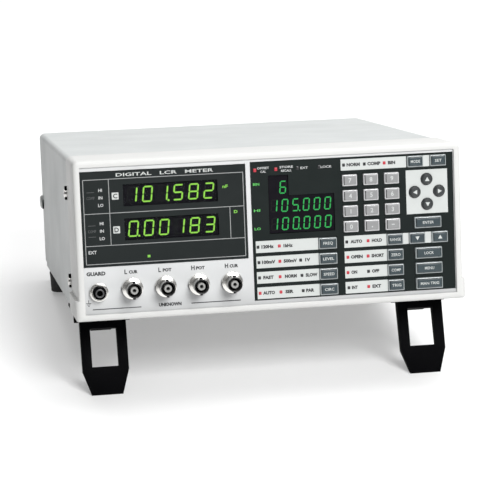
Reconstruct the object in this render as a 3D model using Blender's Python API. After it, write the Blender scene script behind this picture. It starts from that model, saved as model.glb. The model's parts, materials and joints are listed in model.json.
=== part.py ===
"""Bench capacitance and LCR meter, modelled as separate solids, in metres, +Z up.

Everything except the tilt is laid out in the case's own axes: x to the right from the centre line,
y from the bezel's front face towards the rear, z up from the case's underside. One empty, "case",
then tips the instrument back onto its two tilt legs and its two rear feet.
"""

import math

import bmesh
import bpy
from mathutils import Matrix

MM = 0.001

# Case
TILT = math.radians(9.4)
CASE_WIDTH = 260 * MM
CASE_HEIGHT = 105 * MM
CASE_DEPTH = 298 * MM
GAP = 0.3 * MM
SHEET = 1.2 * MM
CORNER_RADIUS = 4 * MM
CORNER_STEPS = 4

# Front bezel
BEZEL_DEPTH = 50 * MM
BEZEL_WALL = 2.6 * MM
BEZEL_PROUD = 0.9 * MM
RIM_WIDTH = 4.4 * MM
RIM_THICKNESS = 1.2 * MM
LEDGE_HEIGHT = 13.6 * MM
LEDGE_WIDTH = 0.5 * MM

# Front panel and the plates let into it
PANEL_FRONT = RIM_THICKNESS + GAP
PANEL_THICKNESS = 2.5 * MM
PANEL_REAR = PANEL_FRONT + PANEL_THICKNESS
PANEL_MARGIN = 3.4 * MM
WINDOW = (-124.7 * MM, -15.7 * MM, 35.4 * MM, 98 * MM)
WINDOW_THICKNESS = 2 * MM
KEYPAD = (-12.7 * MM, 124.3 * MM, 6.9 * MM, 98.9 * MM)
INLAY_FRONT = PANEL_FRONT - GAP
READOUT = (-1 * MM, 43 * MM, 50.7 * MM, 75.6 * MM)
READOUT_TAB = (12.5 * MM, 89.3 * MM)
READOUT_FRONT = 1.9 * MM

# Keys
ROW_LOW = 11.8 * MM
ROW_PITCH = 10.24 * MM
KEY_HEIGHT = 7.6 * MM
KEY_PROUD = 2 * MM
KEY_TRAVEL = 0.8 * MM
KEY_BEVEL = 1.1 * MM
KEY_FLANGE = 0.6 * MM
PLUNGER = 3 * MM
PLUNGER_LENGTH = 0.5 * MM
DIGIT_KEY_WIDTH = 10 * MM
DIGIT_COLUMN = 53.6 * MM
DIGIT_PITCH = 14.2 * MM
DIGIT_ROW = 4
DIGIT_NAMES = (("0", "point", "minus"), ("1", "2", "3"), ("4", "5", "6"), ("7", "8", "9"))
# Each column of function keys: its centre, its keys' width, and each key's name and row.
KEY_COLUMNS = (
    (37.5 * MM, 12.3 * MM, (("circuit", 0), ("speed", 1), ("level", 2), ("frequency", 3))),
    (83.2 * MM, 11 * MM, (("source", 0), ("compare", 1), ("zero", 2), ("range", 3))),
    (98.3 * MM, 11 * MM, (("range_down", 3), ("mode", 8))),
    (113.9 * MM, 11 * MM, (("range_up", 3), ("set", 8))),
    (106 * MM, 18.4 * MM, (("trigger", 0), ("menu", 1), ("lock", 2), ("enter", 4))),
)
ARROW_CENTRE = (106 * MM, ROW_LOW + 6 * ROW_PITCH)
ARROW_OFFSET = 8.3 * MM
ARROW_RADIUS = 3.8 * MM
SWITCH_SIZE = 6 * MM

# Boards and display modules behind the panel
BOARD_THICKNESS = 1.6 * MM
BOARD_FRONT = 8.6 * MM
FRONT_BOARD = (-122 * MM, 122 * MM, 6.5 * MM, 98.5 * MM)
MODULE_FRONT = 3.6 * MM

# Main board and transformer, on the case's floor
BOARD_LOW = 8 * MM
BOARD = (-118 * MM, 52 * MM, 60 * MM, 276 * MM)
POST_MARGIN = 8 * MM
POST_RADIUS = 3.5 * MM
TRAY_WALL = 30 * MM
# Each tall part's left, right, front, rear and height, in mm: shield can, capacitors, relays, heat sink.
TALL_PARTS = (
    (-105, -30, 70, 130, 14),
    (-95, -85, 150, 160, 10),
    (-78, -68, 150, 160, 10),
    (-40, -10, 160, 190, 6),
    (5, 35, 90, 120, 5),
    (10, 40, 215, 222, 30),
)
TRANSFORMER_CENTRE = (88 * MM, 225 * MM)
CORE_HALF = (24 * MM, 20 * MM)
CORE_HEIGHT = 56 * MM
WINDING_HALF = (15 * MM, 31 * MM)
WINDING_MARGIN = 9 * MM

# Test terminals
TERMINAL_HEIGHT = 20.4 * MM
TERMINAL_FIRST = -93.5 * MM
TERMINAL_PITCH = 22 * MM
TERMINAL_NAMES = ("bnc_low_current", "bnc_low_voltage", "bnc_high_voltage", "bnc_high_current")
TERMINAL_HOLE = 4.95 * MM
GUARD_X = -115.5 * MM
GUARD_HEIGHT = 19.2 * MM
GUARD_HOLE = 3.9 * MM

# Rear
REAR_RIM_DEPTH = 12 * MM
REAR_RIM_WIDTH = 3 * MM
REAR_RECESS = 3.5 * MM
REAR_PLATE = 2.5 * MM
REAR_FACE = CASE_DEPTH - REAR_RECESS
SIDE_BOSS_RADIUS = 5 * MM
SIDE_BOSS_LENGTH = 2.4 * MM
SIDE_BOSS_HEIGHT = 51 * MM
INLET_CENTRE = (92 * MM, 30 * MM)
SWITCH_CENTRE = (92 * MM, 70 * MM)
REMOTE_CENTRE = (12 * MM, 66 * MM)
HANDLER_CENTRE = (-60 * MM, 66 * MM)
INLET_HALF = (13.5 * MM, 10 * MM)
INLET_FLANGE_HALF = (25 * MM, 11.5 * MM)
INLET_FRONT = 276 * MM
SOCKET_HALF = (12.3 * MM, 8.4 * MM)
SOCKET_CUT = 4 * MM
SOCKET_FLOOR = 281 * MM
PIN_CENTRES = ((-7 * MM, 1.5 * MM), (7 * MM, 1.5 * MM), (0, -2.5 * MM))
PIN_HALF = (1 * MM, 2 * MM)
SWITCH_HALF = (6.7 * MM, 11.1 * MM)
SWITCH_FLANGE_HALF = (8.5 * MM, 12.8 * MM)
SWITCH_FRONT = 278 * MM
POCKET_HALF = (5.2 * MM, 9.7 * MM)
ROCKER_AXIS_Y = 289.5 * MM
ROCKER_THROW = math.radians(10)
REMOTE_HALF = (22 * MM, 6 * MM)
REMOTE_FLANGE = 30 * MM
HANDLER_HALF = (14 * MM, 5 * MM)
HANDLER_FLANGE = 20 * MM
CONNECTOR_FRONT = 283 * MM

# Feet and tilt legs
FOOT_DROP = 16 * MM
REAR_FOOT_X = 118.5 * MM
REAR_FOOT_Y = 262 * MM
REAR_FOOT_RADIUS = 10 * MM
REAR_FOOT_SOLE = 8.4 * MM
LEG_X = 109.8 * MM
HINGE_Y = 50.5 * MM
HINGE_DROP = 5.2 * MM
LEG_LEAN = math.radians(17.5)
LEG_WIDTH = 31.2 * MM
LEG_TIP_WIDTH = 21.2 * MM
LEG_SHOULDER = 36.5 * MM
LEG_WINDOW_WIDTH = 18 * MM
LEG_WINDOW = (8 * MM, 34 * MM)
LEG_BACK = 2.4 * MM
LEG_FRONT_TOP = 5.4 * MM
LEG_FRONT_TIP = 1.6 * MM
BARREL_RADIUS = 2.6 * MM
PIN_RADIUS = 1.5 * MM
PIN_CLEARANCE = 0.08 * MM
EAR_THICKNESS = 3 * MM
EAR_RADIUS = 2.9 * MM
BRACKET_THICKNESS = 2 * MM
BRACKET_FRONT = 46 * MM
BRACKET_REAR = 92 * MM
PAD = (61 * MM, 82.5 * MM)
PAD_WIDTH = 15.6 * MM


def clear_scene():
    for old in list(bpy.data.objects):
        bpy.data.objects.remove(old, do_unlink=True)


# ---------------------------------------------------------------- materials


def finish(name, colour, roughness, metallic=0.0):
    material = bpy.data.materials.new(name)
    material.use_nodes = True
    shader = material.node_tree.nodes["Principled BSDF"]
    shader.inputs["Base Color"].default_value = (*colour, 1)
    shader.inputs["Roughness"].default_value = roughness
    shader.inputs["Metallic"].default_value = metallic
    return material


def make_finishes():
    return {
        "cover": finish("cover_paint", (0.70, 0.71, 0.72), 0.5),
        "bezel": finish("bezel_plastic", (0.80, 0.80, 0.79), 0.45),
        "panel": finish("panel_paint", (0.72, 0.73, 0.74), 0.5),
        "dark": finish("dark_film", (0.03, 0.035, 0.037), 0.35),
        "glass": finish("smoked_window", (0.02, 0.025, 0.025), 0.12),
        "digit_key": finish("grey_key", (0.42, 0.41, 0.41), 0.5),
        "function_key": finish("slate_key", (0.09, 0.12, 0.14), 0.45),
        "steel": finish("plated_steel", (0.62, 0.62, 0.62), 0.35, 1.0),
        "nickel": finish("nickel", (0.75, 0.74, 0.72), 0.25, 1.0),
        "black": finish("black_plastic", (0.015, 0.015, 0.016), 0.5),
        "rubber": finish("black_rubber", (0.02, 0.02, 0.02), 0.85),
        "board": finish("circuit_board", (0.02, 0.16, 0.07), 0.6),
        "core": finish("transformer_core", (0.12, 0.12, 0.13), 0.55, 0.6),
    }


# ---------------------------------------------------------------- mesh building


def to_mesh(bm, name="shape"):
    bmesh.ops.recalc_face_normals(bm, faces=bm.faces)
    mesh = bpy.data.meshes.new(name)
    bm.to_mesh(mesh)
    bm.free()
    return mesh


def joined(face, other):
    """Each point of one loop, with the next one and the two beside them on the other loop."""
    count = len(face)
    return [(face[i], face[(i + 1) % count], other[(i + 1) % count], other[i]) for i in range(count)]


def loft(loops, ring=False):
    """A solid through closed loops of points: capped at both ends, or closed onto itself as a ring."""
    bm = bmesh.new()
    rows = [[bm.verts.new(point) for point in loop] for loop in loops]
    for row, following in zip(rows, rows[1:]):
        for corners in joined(row, following):
            bm.faces.new(corners)
    if ring:
        for corners in joined(rows[-1], rows[0]):
            bm.faces.new(corners)
    else:
        bm.faces.new(rows[0])
        bm.faces.new(rows[-1])
    return to_mesh(bm)


def plate(contours, near, far):
    """A solid from y = near to y = far, in (x, z) contours: first the outline, then the holes."""
    bm = bmesh.new()
    ends = ([], [])
    for contour in contours:
        rows = [[bm.verts.new((x, y, z)) for x, z in contour] for y in (near, far)]
        for row, edges in zip(rows, ends):
            edges += [bm.edges.new((a, b)) for a, b in zip(row, row[1:] + row[:1])]
        for corners in joined(*rows):
            bm.faces.new(corners)
    for edges in ends:
        bmesh.ops.triangle_fill(bm, edges=edges, use_beauty=True, normal=(0, 1, 0))
    return to_mesh(bm)


def turned(profile, segments):
    """A solid turned about the y axis. The (radius, y) profile starts and ends on the axis."""
    bm = bmesh.new()
    angles = [2 * math.pi * i / segments for i in range(segments)]
    rows = []
    for radius, y in profile:
        if radius == 0:
            rows.append([bm.verts.new((0, y, 0))])
        else:
            rows.append([bm.verts.new((radius * math.cos(a), y, radius * math.sin(a))) for a in angles])
    for row, following in zip(rows, rows[1:]):
        for i in range(segments):
            j = (i + 1) % segments
            if len(row) == 1:
                bm.faces.new((row[0], following[j], following[i]))
            elif len(following) == 1:
                bm.faces.new((row[i], row[j], following[0]))
            else:
                bm.faces.new((row[i], row[j], following[j], following[i]))
    return to_mesh(bm)


def block(low, high):
    corners = rectangle(low[0], high[0], low[2], high[2])
    return loft([[(x, y, z) for x, z in corners] for y in (low[1], high[1])])


def moved(mesh, matrix):
    mesh.transform(matrix)
    if matrix.determinant() < 0:
        mesh.flip_normals()
    return mesh


def shifted(mesh, x=0.0, y=0.0, z=0.0):
    return moved(mesh, Matrix.Translation((x, y, z)))


def combined(first, others, operation):
    """The first mesh with the others added to it ("UNION") or cut from it ("DIFFERENCE")."""
    helpers = []
    for mesh in [first, *others]:
        helper = bpy.data.objects.new("helper", mesh)
        bpy.context.scene.collection.objects.link(helper)
        helpers.append(helper)
    for helper in helpers[1:]:
        modifier = helpers[0].modifiers.new("cut", "BOOLEAN")
        modifier.operation = operation
        modifier.object = helper
    graph = bpy.context.evaluated_depsgraph_get()
    result = bpy.data.meshes.new_from_object(helpers[0].evaluated_get(graph))
    for helper in helpers:
        bpy.data.objects.remove(helper, do_unlink=True)
    return result


# ---------------------------------------------------------------- outlines in (x, z)


def rectangle(left, right, low, high):
    return [(left, low), (right, low), (right, high), (left, high)]


def inset(box, amount):
    left, right, low, high = box
    return left + amount, right - amount, low + amount, high - amount


def arc(x, z, radius, start, turn, steps):
    angles = [start + turn * i / steps for i in range(steps + 1)]
    return [(x + radius * math.cos(a), z + radius * math.sin(a)) for a in angles]


def circle(x, z, radius, segments=20):
    return arc(x, z, radius, 0, 2 * math.pi, segments)[:-1]


def rounded(left, right, low, high, radius):
    quarter = math.pi / 2
    corners = (
        (right - radius, low + radius, -quarter),
        (right - radius, high - radius, 0),
        (left + radius, high - radius, quarter),
        (left + radius, low + radius, 2 * quarter),
    )
    return [point for x, z, start in corners for point in arc(x, z, radius, start, quarter, CORNER_STEPS)]


def at_depth(outline, y):
    return [(x, y, z) for x, z in outline]


# ---------------------------------------------------------------- placing nodes


def add_empty(name, location=(0, 0, 0), parent=None):
    empty = bpy.data.objects.new(name, None)
    empty.location = location
    empty.parent = parent
    bpy.context.scene.collection.objects.link(empty)
    return empty


def add_node(name, mesh, material, parent, location=(0, 0, 0), smooth=False):
    if not mesh.materials:
        mesh.materials.append(material)
    mesh.name = name
    if smooth:
        mesh.shade_smooth()
        mesh.set_sharp_from_angle(angle=math.radians(35))
    node = bpy.data.objects.new(name, mesh)
    node.location = location
    node.parent = parent
    bpy.context.scene.collection.objects.link(node)
    return node


# ---------------------------------------------------------------- case


def bezel_loop(depth, margin, ledge=0.0):
    """One loop of the bezel: its outline at this depth, drawn in by a margin, wider below the ledge."""
    half = CASE_WIDTH / 2 - LEDGE_WIDTH - margin
    radius = max(CORNER_RADIUS - margin, 0.8 * MM)
    low, high = margin, CASE_HEIGHT - margin
    points = []
    for x, z in rounded(-half, half, low, high, radius):
        points.append((x + math.copysign(ledge, x) if z < LEDGE_HEIGHT else x, z))
    right = CORNER_STEPS + 1
    left = 3 * right
    step = (LEDGE_HEIGHT, LEDGE_HEIGHT + LEDGE_WIDTH)
    points[left:left] = [(-half, step[1]), (-half - ledge, step[0])]
    points[right:right] = [(half + ledge, step[0]), (half, step[1])]
    return at_depth(points, depth)


def front_bezel(finishes, case):
    nose = 2.4 * MM
    lip = 0.5 * MM
    loops = [bezel_loop(BEZEL_DEPTH, lip, LEDGE_WIDTH), bezel_loop(BEZEL_DEPTH - lip, 0, LEDGE_WIDTH)]
    for step in range(4):
        angle = math.pi / 2 * step / 3
        margin = nose * (1 - math.cos(angle))
        loops.append(bezel_loop(nose * (1 - math.sin(angle)), margin, LEDGE_WIDTH * (1 - step / 3)))
    loops.append(bezel_loop(0, RIM_WIDTH - lip))
    loops.append(bezel_loop(lip, RIM_WIDTH))
    loops.append(bezel_loop(RIM_THICKNESS, RIM_WIDTH))
    loops.append(bezel_loop(RIM_THICKNESS, BEZEL_WALL))
    loops.append(bezel_loop(BEZEL_DEPTH, BEZEL_WALL))
    add_node("front_bezel", loft(loops, ring=True), finishes["bezel"], case, smooth=True)


def channel(half, low, high, radius, wall):
    """The outline of a sheet bent into a channel that opens downwards, with rounded bends."""
    quarter = math.pi / 2
    outer = [(half, low)]
    outer += arc(half - radius, high - radius, radius, 0, quarter, CORNER_STEPS)
    outer += arc(radius - half, high - radius, radius, quarter, quarter, CORNER_STEPS)
    outer += [(-half, low)]
    bend = radius - wall
    inner = [(wall - half, low)]
    inner += arc(radius - half, high - radius, bend, 2 * quarter, -quarter, CORNER_STEPS)
    inner += arc(half - radius, high - radius, bend, quarter, -quarter, CORNER_STEPS)
    inner += [(half - wall, low)]
    return outer + inner


COVER_HALF = CASE_WIDTH / 2 - LEDGE_WIDTH - BEZEL_PROUD
COVER_LOW = 1 * MM
COVER_HIGH = CASE_HEIGHT - BEZEL_PROUD
SHELL_FRONT = BEZEL_DEPTH + GAP
SHELL_REAR = CASE_DEPTH - REAR_RIM_DEPTH - GAP


def top_cover(finishes, case):
    outline = channel(COVER_HALF, COVER_LOW, COVER_HIGH, CORNER_RADIUS, SHEET)
    add_node("top_cover", plate([outline], SHELL_FRONT, SHELL_REAR), finishes["cover"], case, smooth=True)


def bottom_chassis(finishes, case):
    """A sheet tray that opens upwards, with four posts for the main board."""
    outline = channel(COVER_HALF - SHEET - GAP, -TRAY_WALL, 0, CORNER_RADIUS / 2, SHEET)
    tray = plate([[(x, -z) for x, z in outline]], SHELL_FRONT, SHELL_REAR)
    posts = []
    root, top = SHEET / 2, BOARD_LOW - GAP
    profile = [(0, root), (POST_RADIUS, root), (POST_RADIUS, top), (0, top)]
    for x, y in board_corners(POST_MARGIN):
        post = moved(turned(profile, 12), Matrix.Rotation(math.pi / 2, 4, "X"))
        posts.append(shifted(post, x, y))
    add_node("bottom_chassis", combined(tray, posts, "UNION"), finishes["steel"], case, smooth=True)


# ---------------------------------------------------------------- front panel


def terminal_x(index):
    return TERMINAL_FIRST + index * TERMINAL_PITCH


def front_panel(finishes, case):
    half = CASE_WIDTH / 2 - PANEL_MARGIN - GAP
    contours = [rectangle(-half, half, PANEL_MARGIN, CASE_HEIGHT - PANEL_MARGIN)]
    contours += [rectangle(*WINDOW), rectangle(*KEYPAD)]
    contours += [circle(terminal_x(i), TERMINAL_HEIGHT, TERMINAL_HOLE) for i in range(len(TERMINAL_NAMES))]
    contours.append(circle(GUARD_X, GUARD_HEIGHT, GUARD_HOLE, 16))
    add_node("front_panel", plate(contours, PANEL_FRONT, PANEL_REAR), finishes["panel"], case)


def display_window(finishes, case):
    outline = rectangle(*inset(WINDOW, GAP))
    mesh = plate([outline], INLAY_FRONT, INLAY_FRONT + WINDOW_THICKNESS)
    add_node("display_window", mesh, finishes["glass"], case)


def readout_outline(margin):
    """The stepped opening of the small display: one short line above two long ones."""
    left, right, low, high = inset(READOUT, margin)
    tab_right, tab_high = READOUT_TAB
    return [
        (left, low),
        (right, low),
        (right, high),
        (tab_right - margin, high),
        (tab_right - margin, tab_high - margin),
        (left, tab_high - margin),
    ]


def key_layout():
    """Every rectangular key: name, centre x, row counted from the bottom, width, finish."""
    keys = []
    for row, names in enumerate(DIGIT_NAMES):
        for column, name in enumerate(names):
            x = DIGIT_COLUMN + column * DIGIT_PITCH
            keys.append((f"key_{name}", x, DIGIT_ROW + row, DIGIT_KEY_WIDTH, "digit_key"))
    for x, width, members in KEY_COLUMNS:
        keys += [(f"key_{name}", x, row, width, "function_key") for name, row in members]
    return keys


def arrow_layout():
    x, z = ARROW_CENTRE
    step = ARROW_OFFSET
    return (("up", x, z + step), ("left", x - step, z), ("right", x + step, z), ("down", x, z - step))


def row_height(row):
    return ROW_LOW + row * ROW_PITCH


def keypad_panel(finishes, case):
    contours = [rectangle(*inset(KEYPAD, GAP)), readout_outline(0)]
    for _, x, row, width, _ in key_layout():
        half_width = width / 2 + GAP
        half_height = KEY_HEIGHT / 2 + GAP
        z = row_height(row)
        contours.append(rectangle(x - half_width, x + half_width, z - half_height, z + half_height))
    contours += [circle(x, z, ARROW_RADIUS + GAP, 16) for _, x, z in arrow_layout()]
    add_node("keypad_panel", plate(contours, INLAY_FRONT, PANEL_REAR), finishes["dark"], case)


def key_stations():
    """Depth and margin of each loop down a key: bevelled cap, shaft, flange behind the panel, plunger."""
    cap = INLAY_FRONT - KEY_PROUD
    flange = PANEL_REAR + GAP
    flange_rear = flange + 0.7 * MM
    return (
        (cap, KEY_BEVEL),
        (cap + 0.25 * MM, KEY_BEVEL * 0.75),
        (cap + 1.2 * MM, 0),
        (flange, 0),
        (flange, -KEY_FLANGE),
        (flange_rear, -KEY_FLANGE),
        (flange_rear, None),
        (flange_rear + PLUNGER_LENGTH, None),
    )


def rectangular_key(width):
    loops = []
    for y, margin in key_stations():
        size = (PLUNGER, PLUNGER) if margin is None else (width - 2 * margin, KEY_HEIGHT - 2 * margin)
        half_width, half_height = size[0] / 2, size[1] / 2
        loops.append(at_depth(rectangle(-half_width, half_width, -half_height, half_height), y))
    return loft(loops)


def round_key():
    profile = [(PLUNGER / 2 if margin is None else ARROW_RADIUS - margin, y) for y, margin in key_stations()]
    return turned([(0, profile[0][1]), *profile, (0, profile[-1][1])], 16)


def keys(finishes, case):
    meshes = {}
    for name, x, row, width, look in key_layout():
        shared = meshes.setdefault((width, look), rectangular_key(width))
        add_node(name, shared, finishes[look], case, (x, 0, row_height(row)))
    shared = round_key()
    for name, x, z in arrow_layout():
        add_node(f"key_{name}", shared, finishes["function_key"], case, (x, 0, z), smooth=True)


# ---------------------------------------------------------------- terminals


def bnc_profile():
    rim = -12.5 * MM
    floor = -4.5 * MM
    insulator = -10.5 * MM
    flange = -1.6 * MM
    nut = PANEL_REAR + GAP
    return [
        (0, -8 * MM),
        (0.8 * MM, -8 * MM),
        (0.8 * MM, insulator),
        (2.4 * MM, insulator),
        (2.4 * MM, floor),
        (4.1 * MM, floor),
        (4.1 * MM, rim),
        (4.7 * MM, rim),
        (4.85 * MM, rim + 0.2 * MM),
        (4.85 * MM, flange),
        (6.8 * MM, flange),
        (7 * MM, flange + 0.4 * MM),
        (7 * MM, INLAY_FRONT),
        (TERMINAL_HOLE - GAP, INLAY_FRONT),
        (TERMINAL_HOLE - GAP, nut),
        (6.6 * MM, nut),
        (6.6 * MM, nut + 2.5 * MM),
        (TERMINAL_HOLE - GAP, nut + 2.5 * MM),
        (TERMINAL_HOLE - GAP, 13 * MM),
        (0, 13 * MM),
    ]


def test_terminals(finishes, case):
    """Four coaxial sockets, each with its two bayonet lugs."""
    lugs = []
    for side in (-1, 1):
        lug = turned([(0, 0), (1 * MM, 0), (1 * MM, 1.5 * MM), (0, 1.5 * MM)], 8)
        lug = moved(lug, Matrix.Rotation(side * math.pi / 2, 4, "X"))
        lugs.append(shifted(lug, y=-9.5 * MM, z=side * 4.5 * MM))
    shared = combined(turned(bnc_profile(), 20), lugs, "UNION")
    for index, name in enumerate(TERMINAL_NAMES):
        place = (terminal_x(index), 0, TERMINAL_HEIGHT)
        add_node(name, shared, finishes["nickel"], case, place, smooth=True)


def guard_terminal(finishes, case):
    """A 4 mm banana socket: insulated sleeve with a metal collar behind it and a nut inside."""
    face = -6 * MM
    nut = PANEL_REAR + GAP
    shank = GUARD_HOLE - GAP
    profile = [
        (0, 9 * MM),
        (2.05 * MM, 9 * MM),
        (2.05 * MM, face),
        (3.8 * MM, face),
        (4.2 * MM, face + 0.5 * MM),
        (4.2 * MM, -1 * MM),
        (5.8 * MM, -1 * MM),
        (6.1 * MM, -0.6 * MM),
        (6.1 * MM, INLAY_FRONT),
        (shank, INLAY_FRONT),
        (shank, nut),
        (5.5 * MM, nut),
        (5.5 * MM, nut + 2 * MM),
        (shank, nut + 2 * MM),
        (shank, 12 * MM),
        (0, 12 * MM),
    ]
    place = (GUARD_X, 0, GUARD_HEIGHT)
    add_node("guard_terminal", turned(profile, 20), finishes["black"], case, place, smooth=True)


# ---------------------------------------------------------------- inside


def board_corners(margin):
    left, right, front, rear = inset(BOARD, margin)
    return [(x, y) for x in (left, right) for y in (front, rear)]


def displays(finishes, case):
    left, right, low, high = WINDOW
    rear = BOARD_FRONT - GAP
    main = block((left + GAP, MODULE_FRONT, low + GAP), (right - GAP, rear, high - GAP))
    add_node("main_display", main, finishes["black"], case)
    small = plate([readout_outline(GAP)], READOUT_FRONT, rear)
    add_node("sub_display", small, finishes["black"], case)


def front_board(finishes, case):
    """The board behind the panel: holes for the terminals and one tact switch behind each key."""
    contours = [rectangle(*FRONT_BOARD)]
    hole = TERMINAL_HOLE + 1 * MM
    contours += [circle(terminal_x(i), TERMINAL_HEIGHT, hole, 12) for i in range(len(TERMINAL_NAMES))]
    contours.append(circle(GUARD_X, GUARD_HEIGHT, GUARD_HOLE + 0.6 * MM, 12))
    board = plate(contours, BOARD_FRONT, BOARD_FRONT + BOARD_THICKNESS)
    centres = [(x, row_height(row)) for _, x, row, _, _ in key_layout()]
    centres += [(x, z) for _, x, z in arrow_layout()]
    half = SWITCH_SIZE / 2
    switch_top = key_stations()[-1][0] + KEY_TRAVEL + 0.1 * MM
    rear = BOARD_FRONT + BOARD_THICKNESS / 2
    switches = [block((x - half, switch_top, z - half), (x + half, rear, z + half)) for x, z in centres]
    add_node("front_board", combined(board, switches, "UNION"), finishes["board"], case)


def main_board(finishes, case):
    left, right, front, rear = BOARD
    top = BOARD_LOW + BOARD_THICKNESS
    root = top - BOARD_THICKNESS / 2
    board = block((left, front, BOARD_LOW), (right, rear, top))
    parts = []
    for start, end, near, far, height in TALL_PARTS:
        parts.append(block((start * MM, near * MM, root), (end * MM, far * MM, top + height * MM)))
    add_node("main_board", combined(board, parts, "UNION"), finishes["board"], case)


def power_transformer(finishes, case):
    x, y = CORE_HALF
    core = block((-x, -y, 0), (x, y, CORE_HEIGHT))
    x, y = WINDING_HALF
    winding = block((-x, -y, WINDING_MARGIN), (x, y, CORE_HEIGHT - WINDING_MARGIN))
    place = (*TRANSFORMER_CENTRE, SHEET + GAP)
    add_node("power_transformer", combined(core, [winding], "UNION"), finishes["core"], case, place)


# ---------------------------------------------------------------- rear


def rear_openings():
    """Centre and half size of each thing that comes through the rear panel."""
    return (
        (INLET_CENTRE, INLET_HALF),
        (SWITCH_CENTRE, SWITCH_HALF),
        (REMOTE_CENTRE, REMOTE_HALF),
        (HANDLER_CENTRE, HANDLER_HALF),
    )


def rear_loop(margin, y):
    half = COVER_HALF - margin
    radius = max(CORNER_RADIUS - margin, 0.8 * MM)
    return at_depth(rounded(-half, half, COVER_LOW + margin, COVER_HIGH - margin, radius), y)


def rear_panel(finishes, case):
    """A dished plate with a rim, its connector openings, and one large screw boss on each side."""
    front = CASE_DEPTH - REAR_RIM_DEPTH
    edge = 0.8 * MM
    loops = [
        rear_loop(REAR_RIM_WIDTH, REAR_FACE - REAR_PLATE),
        rear_loop(REAR_RIM_WIDTH, front),
        rear_loop(0, front),
        rear_loop(0, CASE_DEPTH - edge),
        rear_loop(edge, CASE_DEPTH),
        rear_loop(REAR_RIM_WIDTH - edge, CASE_DEPTH),
        rear_loop(REAR_RIM_WIDTH, CASE_DEPTH - edge),
        rear_loop(REAR_RIM_WIDTH, REAR_FACE),
    ]
    holes = []
    for (x, z), (half_width, half_height) in rear_openings():
        low = (x - half_width - GAP, front, z - half_height - GAP)
        high = (x + half_width + GAP, CASE_DEPTH, z + half_height + GAP)
        holes.append(block(low, high))
    dish = combined(loft(loops), holes, "DIFFERENCE")
    root = COVER_HALF - REAR_RIM_WIDTH / 2
    length = COVER_HALF + SIDE_BOSS_LENGTH - root
    radius = min(SIDE_BOSS_RADIUS, REAR_RIM_DEPTH / 2 - edge)
    bosses = []
    for side in (-1, 1):
        profile = [(0, 0), (radius, 0), (radius, length - edge), (radius - edge, length), (0, length)]
        boss = moved(turned(profile, 16), Matrix.Rotation(-side * math.pi / 2, 4, "Z"))
        bosses.append(shifted(boss, side * root, CASE_DEPTH - REAR_RIM_DEPTH / 2, SIDE_BOSS_HEIGHT))
    add_node("rear_panel", combined(dish, bosses, "UNION"), finishes["cover"], case, smooth=True)


def stepped_block(stations):
    """A block along y whose rectangular section changes: each station is a depth and a half size."""
    loops = []
    for y, (half_width, half_height) in stations:
        loops.append(at_depth(rectangle(-half_width, half_width, -half_height, half_height), y))
    return loft(loops)


def mains_inlet(finishes, case):
    """An appliance inlet: flange outside the panel, socket with two corners cut, three flat pins."""
    flange = REAR_FACE + GAP
    face = flange + 2 * MM
    body = stepped_block(
        (
            (INLET_FRONT, INLET_HALF),
            (flange, INLET_HALF),
            (flange, INLET_FLANGE_HALF),
            (face, INLET_FLANGE_HALF),
        )
    )
    half_width, half_height = SOCKET_HALF
    cut = SOCKET_CUT
    outline = [
        (cut - half_width, -half_height),
        (half_width - cut, -half_height),
        (half_width, cut - half_height),
        (half_width, half_height),
        (-half_width, half_height),
        (-half_width, cut - half_height),
    ]
    socket = combined(body, [plate([outline], SOCKET_FLOOR, face + 1 * MM)], "DIFFERENCE")
    pins = []
    for x, z in PIN_CENTRES:
        low = (x - PIN_HALF[0], SOCKET_FLOOR - 1 * MM, z - PIN_HALF[1])
        high = (x + PIN_HALF[0], face - 3 * MM, z + PIN_HALF[1])
        pins.append(block(low, high))
    x, z = INLET_CENTRE
    add_node("mains_inlet", combined(socket, pins, "UNION"), finishes["black"], case, (x, 0, z))


def power_switch(finishes, case):
    """The switch body and its rocker, which is stored pressed in at the top."""
    x, z = SWITCH_CENTRE
    flange = REAR_FACE + GAP
    face = flange + 1.5 * MM
    body = stepped_block(
        (
            (SWITCH_FRONT, SWITCH_HALF),
            (flange, SWITCH_HALF),
            (flange, SWITCH_FLANGE_HALF),
            (face, SWITCH_FLANGE_HALF),
        )
    )
    half_width, half_height = POCKET_HALF
    low = (-half_width, SWITCH_FRONT + 3 * MM, -half_height)
    pocket = block(low, (half_width, face + 1 * MM, half_height))
    add_node("power_switch_body", combined(body, [pocket], "DIFFERENCE"), finishes["black"], case, (x, 0, z))
    # The rocker's own axes: y out of the rear panel from the pivot, z up.
    side_view = [
        (8.2 * MM, 6.7 * MM),
        (0, 4.9 * MM),
        (-8.2 * MM, 6.7 * MM),
        (-6.5 * MM, -1.5 * MM),
        (0, -4.5 * MM),
        (6.5 * MM, -1.5 * MM),
    ]
    sides = (GAP - half_width, half_width - GAP)
    pivot = add_empty("rocker_pivot", (x, ROCKER_AXIS_Y, z), case)
    pivot.rotation_euler.x = ROCKER_THROW
    rocker = loft([[(side, y, z) for z, y in side_view] for side in sides])
    add_node("power_rocker", rocker, finishes["black"], pivot)


def rear_connectors(finishes, case):
    """Two interface connectors, each a body through the panel, a flange outside it and a shell."""
    flange = REAR_FACE + GAP
    flange_face = flange + 1 * MM
    shapes = (
        ("remote_connector", REMOTE_CENTRE, REMOTE_HALF, REMOTE_FLANGE),
        ("handler_connector", HANDLER_CENTRE, HANDLER_HALF, HANDLER_FLANGE),
    )
    for name, (x, z), half, flange_width in shapes:
        flange_half = (flange_width, half[1] + 1.5 * MM)
        shell_half = (half[0] - 3 * MM, half[1] - 1 * MM)
        stations = (
            (CONNECTOR_FRONT, half),
            (flange, half),
            (flange, flange_half),
            (flange_face, flange_half),
            (flange_face, shell_half),
            (CASE_DEPTH - 0.2 * MM, shell_half),
        )
        add_node(name, stepped_block(stations), finishes["steel"], case, (x, 0, z))


# ---------------------------------------------------------------- feet and legs


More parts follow.
